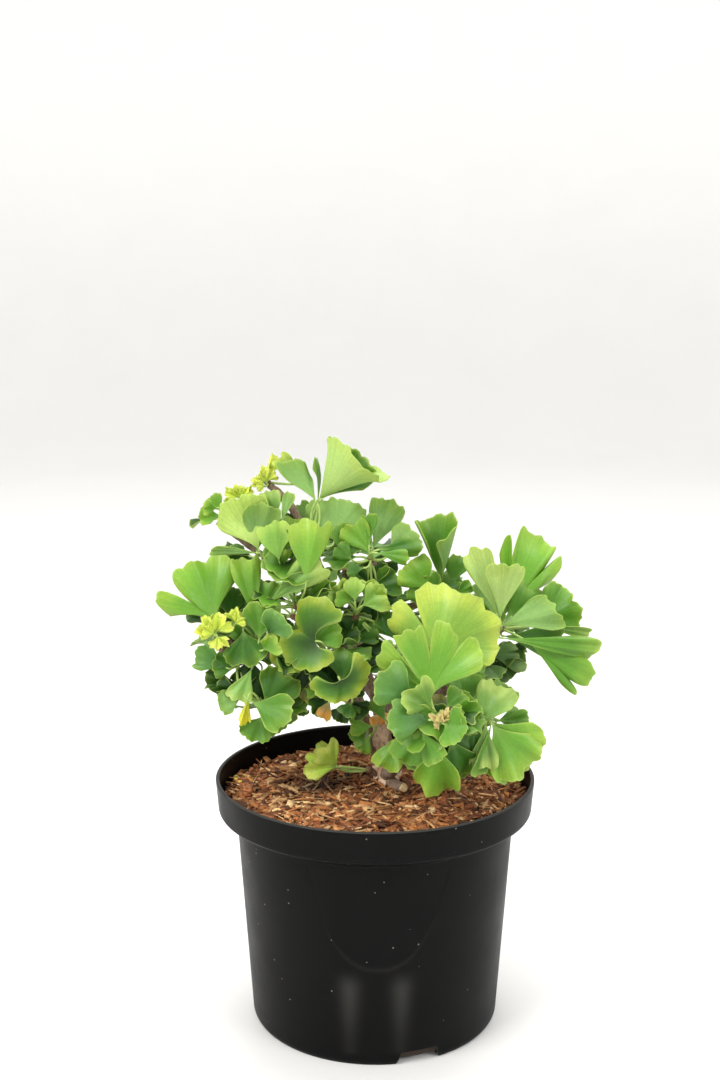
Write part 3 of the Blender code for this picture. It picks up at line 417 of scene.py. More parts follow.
def bark_bed():
    """A ring between the trunk's hole and the pot's wall: each spoke runs straight from the
    hole's circle to the rim's, and the section goes over the top and back underneath."""
    turn = np.linspace(0, 2 * np.pi, 240, endpoint=False)
    way = np.stack([np.cos(turn), np.sin(turn)], axis=-1)
    out = np.linspace(0, 1, 46)[:, None, None]
    flat = (TRUNK_PLACE + BED_HOLE * way) * (1 - out) + BED_RIM * way * out
    top = np.concatenate([flat, bark_height(flat[..., 0], flat[..., 1])[..., None]], axis=-1)
    foot = top[[-1, 0]] * (1, 1, 0) + (0, 0, BED_UNDER)
    ring = np.concatenate([top, foot, top[:1]])
    faces = grid_faces(len(ring) - 1, len(turn), True)
    last = (len(ring) - 2) * len(turn)
    here = np.arange(len(turn))
    right = np.roll(here, -1)
    faces = np.vstack([faces, np.stack([last + here, last + right, right, here], axis=-1)])
    points = ring[:-1].reshape(-1, 3) * MM
    dark = 0.045 + 0.03 * rough(points / MM, 1.6, 9)[:, None]
    tone = np.concatenate([dark * (1.0, 0.55, 0.35), np.ones((len(points), 1))], axis=1)
    return Part(points, [faces[:, ::-1]], tone)


def bark_pieces(count, seed, length, width, thick, tilt, lift, ragged):
    """Slivers of bark strewn over the bed, as one set of points and faces.

    Each is three sections of four corners along its length, narrower at its ends, bent in
    the middle, ragged at each corner, then turned, tilted, and laid on the bed.
    """
    rng = np.random.default_rng(seed)
    out = np.sqrt(rng.uniform(0, 1, count)) * STREWN_REACH
    turn = rng.uniform(0, 2 * np.pi, count)
    x, y = out * np.cos(turn), out * np.sin(turn)
    clear = np.hypot(x - TRUNK_PLACE[0], y - TRUNK_PLACE[1]) > TRUNK_CLEAR
    x, y = x[clear], y[clear]
    count = len(x)
    size = np.stack([rng.uniform(*span, count) / 2 for span in (length, width, thick)], axis=-1)
    section = np.array([(-1, -1), (1, -1), (1, 1), (-1, 1)], float)
    shape = np.zeros((count, 3, 4, 3))
    for k, along in enumerate((-1.0, 0.0, 1.0)):
        narrow = rng.uniform(0.25, 0.8, (count, 1)) if along else 1.0
        shape[:, k, :, 0] = along * size[:, :1]
        shape[:, k, :, 1:] = section[None] * (size[:, None, 1:] * np.atleast_2d(narrow)[..., None])
    shape += rng.normal(0, ragged, shape.shape) * (size[:, None, None] * (0.35, 1, 1))
    shape[:, 1, :, 1:] += (rng.normal(0, 0.07, (count, 2)) * size[:, :1])[:, None]
    yaw = rng.uniform(0, 2 * np.pi, count)
    pitch, roll = rng.normal(0, tilt, (2, count))
    along = np.stack([np.cos(yaw), np.sin(yaw), np.tan(pitch)], axis=-1) * np.cos(pitch)[:, None]
    level = np.stack([-np.sin(yaw), np.cos(yaw), np.zeros(count)], axis=-1)
    up = np.cross(along, level)
    side = level * np.cos(roll)[:, None] + up * np.sin(roll)[:, None]
    up = np.cross(along, side)
    axes = np.stack([along, side, up], axis=1)[:, None]
    points = (shape.reshape(count, 12, 1, 3) @ axes).reshape(count, 12, 3)
    rest = bark_height(x, y) + rng.uniform(*lift, count)
    points += np.stack([x, y, rest], axis=-1)[:, None]
    reach = np.hypot(points[..., 0], points[..., 1])
    points[..., :2] *= np.minimum(1, STREWN_LIMIT / np.maximum(reach, 1e-6))[..., None]
    pattern = np.vstack([grid_faces(3, 4, True), [[3, 2, 1, 0], [8, 9, 10, 11]]])
    faces = (np.arange(count)[:, None, None] * 12 + pattern[None]).reshape(-1, 4)
    kind = rng.choice(len(BARK_TONES), count, p=BARK_SHARES / BARK_SHARES.sum())
    tone = BARK_TONES[kind] * rng.uniform(0.6, 1.25, (count, 1))
    rooty = np.exp(-(((x - ROOT_PATCH[0]) / 19) ** 2 + ((y - ROOT_PATCH[1]) / 16) ** 2))
    tone = np.concatenate([tone * (1 - 0.86 * rooty[:, None]), np.ones((count, 1))], axis=1)
    return Part(points.reshape(-1, 3) * MM, [faces], np.repeat(tone, 12, axis=0))


STRAW = (0.72, 0.50, 0.22)
CRUMB = (0.72, 0.56, 0.10)
ACCENTS = [
    (308, 807, STRAW, 17, 2.6, 0.06), (300, 811, STRAW, 13, 1.8, -0.12),
    (276, 816, STRAW, 5, 3, 0.5), (236, 778, CRUMB, 3, 2.4, 0), (243, 783, CRUMB, 3.4, 2.2, 1),
    (249, 780, CRUMB, 2.6, 2, 2), (240, 786, CRUMB, 2.4, 2, 0.4), (248, 787, CRUMB, 3.2, 2.2, 2.6),
    (254, 784, CRUMB, 2.2, 1.8, 1), (244, 777, CRUMB, 2.2, 2, 0.8), (236, 784, CRUMB, 2, 2, 0.2),
    (377, 787, (0.36, 0.47, 0.45), 4, 3, 0.2), (398, 825, (0.62, 0.36, 0.12), 4, 3, 0.9),
    (352, 818, (0.60, 0.40, 0.18), 9, 2, 0.7),
]
"""Pieces that stand out: where each shows in the picture, its colour, length, width and turn."""


def chosen_piece(across, down, tone, length, width, yaw):
    """One flat lens-shaped chip on the bark: an ellipsoid with its ends drawn out, lifted so
    that it lies on top of the flakes."""
    t = np.linspace(0, np.pi, 9)[:, None]
    turn = np.linspace(0, 2 * np.pi, 10, endpoint=False)
    long = np.repeat(-np.cos(t) * length / 2, 10, axis=1)
    round_ = np.sin(t) ** 0.7
    over = round_ * np.cos(turn) * width / 2
    high = round_ * np.sin(turn) * CHIP_HALF
    x, y = on_bark(across, down)
    sine, cosine = math.sin(yaw), math.cos(yaw)
    ring = np.stack([
        x + long * cosine - over * sine, y + long * sine + over * cosine,
        high + bark_height(x, y) + CHIP_LIFT,
    ], axis=-1).reshape(-1, 3)
    ring = ring + 0.3 * np.stack([rough(ring, 1.5, seed) for seed in (1, 2, 3)], axis=-1)
    points = np.vstack([ring, ring[:10].mean(axis=0), ring[-10:].mean(axis=0)])
    faces = [
        grid_faces(9, 10, True)[:, ::-1], fan_faces(np.arange(10), 90, True),
        fan_faces(np.arange(80, 90), 91, False),
    ]
    return Part(points * MM, faces, np.tile((*tone, 1.0), (92, 1)))


bark_finish, shader = new_finish("shredded_bark", Roughness=0.82, Specular_IOR_Level=0.25)
tree = bark_finish.node_tree
place = add(tree, "TexCoord").outputs["Object"]
tone = add(tree, "Attribute", {"attribute_name": "tone"}).outputs["Color"]
streak = noise(tree, place, 900.0, 4.0, 0.65)
spot = band(tree, streak, 0.3, 0.7, 0.62, 1.35)
shade = add(tree, "CombineColor", _0=spot, _1=spot, _2=spot).outputs[0]
tree.links.new(blend(tree, 1.0, tone, shade, "MULTIPLY"), shader.inputs["Base Color"])
tree.links.new(raised(tree, streak, 0.0004), shader.inputs["Normal"])

flakes, crumbs, fibres = (bark_pieces(*sort) for sort in BARK_SORTS)
bark = make_piece("bark_flakes", [bark_bed(), flakes, crumbs], [bark_finish])
accents = [chosen_piece(*row) for row in ACCENTS]
shreds = make_piece("bark_fibres", [fibres, *accents], [bark_finish])
for piece in (bark, shreds):
    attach(piece, "root")
    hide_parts("bark_mulch")

# The wood: one trunk with forks and short spur twigs, grown together. Its bark is beige to
# pinkish brown, finely cracked and knobbly at the old buds, and it ends in a cut stub.

TRUNK_ROWS = [(6, 12, 98, 6.4), (6, 12, 116, 7.4), (6, 12, 123.9, 7.5)]
TRUNK_SEEN = [
    (387, 772, -12, 7.2), (385, 758, -12, 6.4), (383, 742, -12, 5.4), (382, 728, -12, 4.9),
    (379, 716, -13, 4.4),
]
BRANCHES = {
    "leader": [
        (384, 762, -13, 5.6), (374, 742, -18, 4.6), (356, 700, -22, 3.9), (341, 645, -22, 3.3),
        (327, 590, -20, 2.8), (310, 545, -18, 2.5), (293, 510, -18, 2.2), (277, 491, -19, 2.0),
    ],
    "middle_branch": [
        (356, 700, -22, 3.2), (368, 655, -30, 2.8), (380, 612, -28, 2.5), (384, 578, -24, 2.2),
    ],
    "right_branch": [
        (386, 768, -11, 4.4), (404, 738, -8, 3.8), (440, 694, 0, 3.1), (474, 655, 2, 2.7),
        (492, 636, 0, 2.3),
    ],
    "front_branch": [
        (387, 774, -8, 4.0), (402, 760, 12, 3.3), (420, 742, 30, 2.8), (431, 729, 40, 2.3),
    ],
    "left_branch": [
        (358, 706, -20, 3.2), (330, 684, -10, 2.8), (296, 666, -4, 2.5), (262, 650, -4, 2.2),
        (234, 642, -4, 2.0),
    ],
    "back_branch": [
        (382, 768, -16, 4.6), (384, 742, -34, 3.8), (376, 700, -50, 3.2), (360, 655, -56, 2.8),
        (352, 612, -56, 2.3),
    ],
    "back_right_branch": [
        (380, 716, -46, 3.0), (410, 680, -52, 2.6), (440, 645, -52, 2.2),
    ],
}
SIDE_STUB = [(391, 782, -6, 3.2), (398, 786, 2, 2.9), (404, 788, 8, 2.6)]
"""TRUNK_ROWS: x, y, z and radius in mm. TRUNK_SEEN, BRANCHES and SIDE_STUB: across and down
in the picture, then mm ahead of the pot's axis, and radius in mm."""

TWIG_RADIUS = 1.7
SPUR_RADIUS = 2.1
KNOB_WAVES = ((0.16, 1.0, 1.0), (0.09, 2.4, 0.6), (0.05, 6.0, 1.0))
"""Each wave of knobs: its height over the stem's radius, how much finer than the knobs its
cells are, and how much of its cells' height is kept."""


def seen(rows):
    """Places in mm of rows of (across, down, ahead), as the eye sees them."""
    rows = np.atleast_2d(np.array(rows, float))
    way = eye_way(rows[:, 0], rows[:, 1])
    return EYE + way * ((-rows[:, 2] - EYE[1]) / way[:, 1])[:, None]


def smooth_path(places, step):
    """A Catmull-Rom curve through rows of numbers, with a row about every step mm."""
    rows = np.vstack([2 * places[0] - places[1], places, 2 * places[-1] - places[-2]])
    line = []
    for p0, p1, p2, p3 in zip(rows, rows[1:], rows[2:], rows[3:]):
        count = max(2, math.ceil(np.linalg.norm((p2 - p1)[:3]) / step))
        t = np.arange(count)[:, None] / count
        line.append(0.5 * (
            2 * p1 + (p2 - p0) * t + (2 * p0 - 5 * p1 + 4 * p2 - p3) * t**2
            + (3 * p1 - p0 - 3 * p2 + p3) * t**3
        ))
    return np.vstack([*line, places[-1:]])


def swept(path, radii, sides):
    """A tube closed by a pole at each end: at each station a ring whose first spoke is the
    last station's, less its part along the path."""
    way = unit(np.gradient(path, axis=0))
    spokes = []
    spoke = np.cross(way[0], (0.31, 0.52, 0.8))
    for ahead in way:
        spoke = unit(spoke - ahead * spoke.dot(ahead))
        spokes.append(spoke)
    spokes = np.array(spokes)
    others = np.cross(way, spokes)
    turn = np.linspace(0, 2 * np.pi, sides, endpoint=False)[None, :, None]
    ring = path[:, None] + np.reshape(radii, (len(path), -1, 1)) * (
        spokes[:, None] * np.cos(turn) + others[:, None] * np.sin(turn)
    )
    points = np.vstack([ring.reshape(-1, 3), path[:1], path[-1:]])
    last = (len(path) - 1) * sides
    faces = [
        grid_faces(len(path), sides, True),
        fan_faces(np.arange(sides), len(points) - 2, False),
        fan_faces(np.arange(last, last + sides), len(points) - 1, True),
    ]
    return points, faces


def stem(rows, sides, step, knobs, shade=0.34):
    """A stem along rows of (x, y, z, radius): a tube whose points move out from its middle
    by three waves of noise, with cells of the knobs' size and finer. Its tone is painted
    shade: by default the wood is darkened to about a third, as if shaded by the crown."""
    line = smooth_path(np.array(rows, float), step)
    path, radii = line[:, :3], line[:, 3]
    points, faces = swept(path, radii, sides)
    middle = np.vstack([np.repeat(path, sides, axis=0), path[:1], path[-1:]])
    size = np.concatenate([np.repeat(radii, sides), radii[[0, -1]]])[:, None]
    out = (points - middle) / size
    swell = sum(
        high * rough(points * (1, 1, kept), knobs / finer, 31 + number)
        for number, (high, finer, kept) in enumerate(KNOB_WAVES)
    )
    points = points + out * size * swell[:, None]
    return Part(points * MM, faces, np.full((len(points), 4), shade))


def stub_end(path, radius, depth, sides):
    """The sawn end of a stub: a disc over its end, grown over by callus for its depth, whose
    radius has a wave of noise."""
    ahead = unit(path[-1] - path[-2])
    steps = np.array([-depth, -0.8 * depth, -0.4 * depth, 0.1, 0.35, 0.5])
    line = path[-1] + ahead * steps[:, None]
    points, faces = swept(line, radius * np.array([0.9, 1.04, 1.06, 1.0, 0.9, 0.6]), sides)
    middle = path[-1] + ahead * ((points - path[-1]) @ ahead)[:, None]
    return points + (points - middle) * 0.14 * rough(points, 2.2, 3)[:, None], faces


bark_skin, shader = new_finish("ginkgo_bark_skin", Roughness=0.8, Specular_IOR_Level=0.3)
tree = bark_skin.node_tree
place = add(tree, "TexCoord").outputs["Object"]
tall = add(tree, "Mapping", Vector=place, Scale=(1.0, 1.0, 0.35)).outputs[0]
patch = noise(tree, place, 170.0, 5.0, 0.6)
crack = noise(tree, tall, 900.0, 6.0, 0.7)
skin = blend(tree, band(tree, patch, 0.3, 0.54), (0.56, 0.32, 0.205, 1), (0.94, 0.68, 0.49, 1))
skin = blend(tree, band(tree, crack, 0.36, 0.52, 0.65, 0.0), skin, (0.120, 0.066, 0.044, 1))
# The tone is multiplied in: painted shade that darkens the branches, twigs and side stub.
tint_and_painted_shade = add(tree, "Attribute", {"attribute_name": "tone"}).outputs["Color"]
tree.links.new(blend(tree, 1.0, skin, tint_and_painted_shade, "MULTIPLY"), shader.inputs["Base Color"])
tree.links.new(raised(tree, crack, 0.0007), shader.inputs["Normal"])

sawn_wood, shader = new_finish("sawn_end", Roughness=0.7)
tree = sawn_wood.node_tree
place = add(tree, "TexCoord").outputs["Object"]
patch = noise(tree, place, 500.0, 4.0)
sawn = blend(tree, band(tree, patch, 0.35, 0.65), (0.72, 0.45, 0.17, 1), (0.70, 0.26, 0.05, 1))
tint_and_painted_shade = add(tree, "Attribute", {"attribute_name": "tone"}).outputs["Color"]
tree.links.new(blend(tree, 1.0, sawn, tint_and_painted_shade, "MULTIPLY"), shader.inputs["Base Color"])
tree.links.new(raised(tree, patch, 0.0004), shader.inputs["Normal"])

# The shoots: each is a rosette of fan-shaped leaves on thin stalks, grown from the ring of
# scales of one spur. A blade is a third of a millimetre thick, fresh green above and paler
# beneath, with forking veins that fan out from its foot and a thin yellow margin.

Leaf = namedtuple(
    "Leaf",
    "foot tip spread roll cup ruffle beats phase bend taper skew slits look",
    defaults=(100, 0, 8, 0.03, 2.0, 0.0, 0.0, 0.0, 0.0, (), "green"),
)
"""foot and tip: (across, down, ahead) of the blade's foot and of the middle of its margin.
spread: the fan's angle. roll: turn of the upper face away from the eye. cup: how far it is
rolled on a cone, upper face inside. ruffle, beats, phase: wave of the margin. bend: curl of
the tip. taper: how much shorter the sides are than the middle. skew: how much longer the
+ side is than the other. slits: (place from -1 to 1, depth, half width). look: its colours.
Angles in degrees."""

Shoot = namedtuple("Shoot", "twig leaves hidden tone", defaults=(0, "leaf_green"))
"""twig: (across, down, ahead) from its branch to its crown. leaves: those that show.
hidden: how many more grow behind. tone: leaf_green or bud_yellow."""
SHOOTS = {
    "top_shoot": Shoot([(318, 568, -19), (314, 556, -13), (312, 547, -11)], [
        Leaf((320, 498, -10), (369, 465, 8), 150, 215, 62, taper=0.12, look="pale"),
        Leaf((316, 501, -12), (292, 462, -18), 54, 200, 20, bend=-0.1, skew=0.3),
        Leaf((318, 500, -16), (321, 458, -22), 32, 65, 10),
        Leaf((334, 542, -20), (336, 496, -28), 105, 180, 10),
        Leaf((316, 528, -22), (293, 508, -26), 70, 180),
    ]),
    "bowl_shoot": Shoot([(330, 606, -20), (312, 604, -8), (299, 606, -2)], [
        Leaf((306, 583, 9), (310, 521, 13), 52, 0, -15, look="fresh"),
        Leaf((288, 562, -8), (290, 577, 12), 200, 0, 42, look="bowl"),
        Leaf((279, 562, -2), (272, 523, 1), 66, 0, -22, look="bright"),
        Leaf((270, 600, 2), (312, 566, 6), 24, 0, -15),
    ]),
    "upper_left_shoot": Shoot([(322, 578, -19), (296, 572, -12), (268, 566, -9)], [
        Leaf((259, 550, -4), (236, 498, -10), 80, 180, -12, 0.05, look="bright"),
        Leaf((258, 553, -2), (211, 549, 5), 22, 150, 15),
        Leaf((281, 523, -8), (290, 492, -10), 28, 180, 10),
        Leaf((247, 565, -14), (214, 562, -18), 50, 30),
    ]),
    "corner_shoot": Shoot([(296, 572, -13), (258, 552, -20), (226, 526, -18)], [
        Leaf((220, 515, -16), (199, 517, -12), 80, 10, 45, look="fresh"),
        Leaf((221, 511, -18), (210, 496, -20), 90, 0, 40, look="fresh"),
        Leaf((217, 508, -13), (203, 508, -9), 80, -20, 50, look="fresh"),
    ]),
    "left_inner_shoot": Shoot([(284, 660, -3), (270, 654, 3), (260, 645, 6)], [
        Leaf((256, 622, 6), (243, 556, 2), 36, 15, 25, look="lime"),
        Leaf((259, 640, 14), (262, 602, 14), 80, 0, 20, 0.08),
        Leaf((268, 634, 20), (281, 616, 25), 100, 0, 50, 0.08, look="blue"),
        Leaf((263, 650, 18), (277, 641, 25), 90, 20, 45, look="fresh"),
        Leaf((243, 630, 12), (248, 666, 18), 100, 0, 20, 0.1, beats=3.0, bend=-0.1, look="deep"),
    ]),
    "left_fan_shoot": Shoot([(240, 644, -4), (230, 640, -3), (224, 636, -1)], [
        Leaf(
            (216, 622, 3), (186, 563, 0), 104, 10, 14, beats=3.0, slits=((-0.48, 0.6, 0.15),),
            look="lime",
        ),
        Leaf((232, 620, -12), (228, 584, -22), 80, 20, look="deep"),
    ]),
    "left_low_shoot": Shoot([(258, 652, -5), (246, 660, -2), (240, 662, 0)], [
        Leaf((227, 668, 8), (195, 653, 10), 62, 0, 15, look="blue"),
        Leaf((238, 684, 4), (205, 680, 8), 56, 20, 40, 0.16, look="dark"),
        Leaf((252, 702, 17), (290, 718, 26), 75, -10, 30),
    ], hidden=1),
    "lower_left_shoot": Shoot([(300, 668, -5), (284, 694, 0), (268, 708, 5)], [
        Leaf((264, 706, 14), (287, 671, 12), 85, 0, 15, look="deep"),
        Leaf((242, 697, 14), (218, 705, 18), 80, 180, 15),
        Leaf((248, 698, 20), (243, 725, 22), 34, 0, 25, look="yellow"),
        Leaf((262, 716, 12), (250, 741, 18), 100, 0, 25),
    ]),
    "centre_left_shoot": Shoot([(338, 690, -12), (332, 668, 0), (326, 654, 8)], [
        Leaf(
            (316, 641, 16), (278, 643, 14), 290, 0, 12, skew=0.3, slits=((0.24, 0.5, 0.2),),
            look="folded",
        ),
        Leaf((312, 676, 6), (308, 703, 10), 50, 0, 20, look="olive"),
    ], hidden=1),
    "centre_shoot": Shoot([(350, 706, -19), (350, 702, 2), (348, 694, 14)], [
        Leaf((340, 680, 26), (350, 700, 28), 254, 0, 12, taper=-0.85, skew=-0.1, look="folded"),
        Leaf((330, 700, 18), (322, 719, 22), 66, 20, 25, look="orange"),
        Leaf((352, 702, -2), (344, 716, 2), 90, 0, 15, look="deep"),
    ]),
    "small_inner_shoot": Shoot([(341, 642, -22), (350, 630, -14), (355, 618, -8)], [
        Leaf((350, 604, -2), (331, 586, 2), 80, 0, 32, 0.1, look="bright"),
        Leaf((355, 602, 0), (353, 579, 2), 72, 0, 42, 0.1, look="bright"),
        Leaf((362, 606, 0), (385, 592, 4), 90, 0, 26, 0.1, look="bright"),
    ], hidden=1),
    "upper_middle_shoot": Shoot([(384, 580, -24), (378, 568, -18), (372, 561, -14)], [
        Leaf((373, 549, -14), (391, 500, -18), 52, 180, 8, 0.05),
        Leaf((369, 546, -9), (370, 513, -9), 34, 0, 10),
        Leaf((378, 550, -6), (424, 545, -4), 40, 0, 20, taper=0.3, look="deep"),
        Leaf((377, 553, 0), (408, 558, 6), 36, 0, -15),
        Leaf((352, 560, -7), (336, 547, -5), 80, 0, 10),
        Leaf((364, 568, -4), (346, 570, 2), 70, 0, 10, look="deep"),
    ], hidden=1),
    "tube_shoot": Shoot([(381, 606, -28), (410, 606, -24), (430, 600, -18)], [
        Leaf((441, 580, -14), (447, 514, -20), 110, -25, 70),
        Leaf((428, 589, -10), (409, 565, -4), 86, 0, 15, look="fresh"),
        Leaf((450, 586, -16), (459, 556, -14), 60, 0, 20),
        Leaf((456, 594, -10), (471, 584, -8), 60, 10, 20),
    ], hidden=1),
    "right_shoot": Shoot([(490, 638, 0), (495, 634, 0), (499, 631, 0)], [
        Leaf((497, 615, 2), (475, 549, 0), 32, 180, 18, look="pale"),
        Leaf((500, 619, 8), (506, 561, 6), 48, 180, 10, look="pale"),
        Leaf(
            (503, 617, -8), (540, 534, -18), 55, 0, 14, taper=0.06, skew=-0.05,
            slits=((-0.58, 0.36, 0.12), (0.56, 0.3, 0.08)), look="lime",
        ),
        Leaf((501, 626, 10), (558, 606, 16), 46, 180, 12, skew=-0.14),
        Leaf((540, 620, -6), (575, 597, -8), 100, 0, 10, 0.14),
        Leaf((540, 627, 0), (591, 632, 0), 18, 20, 10, look="pale"),
        Leaf((502, 638, 6), (598, 650, 14), 17, 0, 12),
        Leaf((528, 642, 12), (589, 681, 22), 38, 0, 14, bend=-0.05, slits=((0.5, 0.2, 0.12),)),
    ], hidden=1),
    "right_under_shoot": Shoot([(466, 664, 1), (476, 668, -3), (483, 668, -6)], [
        Leaf(
            (490, 656, -4), (520, 651, 2), 80, 0, 12, skew=0.3, slits=((0.0, 0.35, 0.1),),
            look="shade",
        ),
        Leaf((487, 664, -2), (496, 679, 4), 70, 0, 15, look="shade"),
    ], hidden=1),
    "yellow_green_shoot": Shoot([(446, 690, 1), (440, 676, 8), (438, 668, 12)], [
        Leaf(
            (437, 655, 26), (461, 588, 20), 170, 0, -8, 0.02, taper=0.08,
            slits=((-0.54, 0.75, 0.07),), look="yellow_green",
        ),
    ], hidden=2),
    "front_rosette": Shoot([(428, 734, 38), (434, 726, 44), (438, 721, 47)], [
        Leaf(
            (431, 697, 46), (431, 623, 42), 122, 0, 12, beats=3.0,
            slits=((-0.57, 0.7, 0.04), (-0.03, 0.45, 0.08), (0.45, 0.35, 0.07)), look="lime",
        ),
        Leaf((414, 700, 50), (378, 676, 52), 84, 0, 15, look="blue"),
        Leaf((429, 720, 54), (389, 720, 60), 75, 0, 15, look="blue"),
        Leaf((440, 712, 36), (441, 695, 32), 110, 0, 20, look="olive"),
        Leaf((452, 714, 42), (474, 697, 42), 80, 0, 15),
        Leaf((444, 724, 54), (466, 733, 62), 150, 0, 30),
        Leaf((421, 729, 54), (438, 763, 58), 50, 0, -10),
        Leaf((418, 733, 46), (411, 755, 44), 80, 0, 10),
        Leaf((436, 744, 44), (437, 796, 38), 72, 0, -10, 0.06, taper=0.22, look="fresh"),
        Leaf((450, 738, 42), (466, 779, 34), 66, 0, 10, look="deep"),
    ]),
    "right_low_shoot": Shoot([(440, 700, 0), (462, 718, 18), (480, 726, 28)], [
        Leaf(
            (493, 722, 40), (532, 764, 38), 94, 0, 18, 0.04, beats=3.0, skew=0.12,
            slits=((0.32, 0.12, 0.08),), look="fresh",
        ),
        Leaf((491, 724, 42), (479, 776, 46), 26, -40, 10),
        Leaf((486, 721, 38), (507, 683, 32), 58, 180, 10),
        Leaf((496, 722, 32), (522, 712, 28), 40, 0, 10),
    ]),
    "trunk_right_shoot": Shoot([(392, 764, -8), (398, 752, 0), (402, 744, 6)], [
        Leaf((400, 737, 16), (383, 769, 20), 68, 0, -12, look="fresh"),
        Leaf((386, 722, 0), (373, 698, -4), 50, 0, 15),
    ]),
    "trunk_left_shoot": Shoot([(379, 752, -12), (370, 748, -8), (366, 744, -5)], [
        Leaf((373, 726, 1), (350, 728, 4), 60, 0, 10, look="fresh"),
        Leaf((370, 736, 1), (361, 753, 2), 66, 0, 10, look="fresh"),
    ]),
    "basal_shoot": Shoot([(384, 776, -12), (375, 773, -8), (371, 771, -6)], [
        Leaf((339, 768, -4), (311, 757, 0), 88, 0, 20, 0.13, look="basal"),
    ]),
    "left_yellow_buds": Shoot([(240, 644, -4), (226, 650, 2), (216, 644, 8)], [
        Leaf((214, 632, 14), (204, 620, 16), 80, 0, 40, look="bud"),
        Leaf((215, 630, 14), (217, 614, 14), 80, 0, 40, look="bud"),
        Leaf((212, 634, 15), (198, 632, 18), 60, 0, 30, look="bud"),
        Leaf((217, 637, 16), (213, 648, 18), 70, 0, 30, look="bud"),
        Leaf((219, 633, 15), (229, 626, 17), 70, 0, 40, look="bud"),
        Leaf((232, 625, 12), (240, 612, 14), 90, 0, 40, look="bud"),
    ], tone="bud_yellow"),
    "upper_left_buds": Shoot([(282, 498, -19), (262, 500, -20), (246, 504, -20)], [
        Leaf((238, 497, -18), (225, 494, -14), 90, 0, 40, look="bud"),
        Leaf((240, 496, -20), (238, 486, -20), 90, 0, 40, look="bud"),
        Leaf((243, 497, -18), (252, 490, -16), 80, 0, 30, look="bud"),
    ], tone="bud_yellow"),
    "leader_buds": Shoot([(278, 492, -19), (273, 488, -19), (270, 485, -19)], [
        Leaf((264, 486, -17), (254, 477, -15), 90, 0, 35, look="bud"),
        Leaf((266, 482, -19), (266, 466, -20), 80, 0, 40, look="bud"),
        Leaf((268, 480, -18), (276, 457, -18), 34, 0, 20, look="bud"),
    ], tone="bud_yellow"),
    "back_top_shoot": Shoot([(352, 612, -56), (350, 590, -54), (346, 574, -50)], [], hidden=4),
    "back_left_shoot": Shoot([(354, 640, -56), (320, 630, -58), (296, 618, -56)], [], hidden=4),
    "back_middle_shoot": Shoot([(376, 700, -50), (366, 688, -62), (358, 676, -70)], [], hidden=5),
    "back_right_shoot": Shoot([(440, 645, -52), (450, 632, -50), (456, 622, -48)], [], hidden=4),
    "back_low_shoot": Shoot([(400, 690, -50), (424, 690, -56), (440, 688, -60)], [], hidden=4),
}

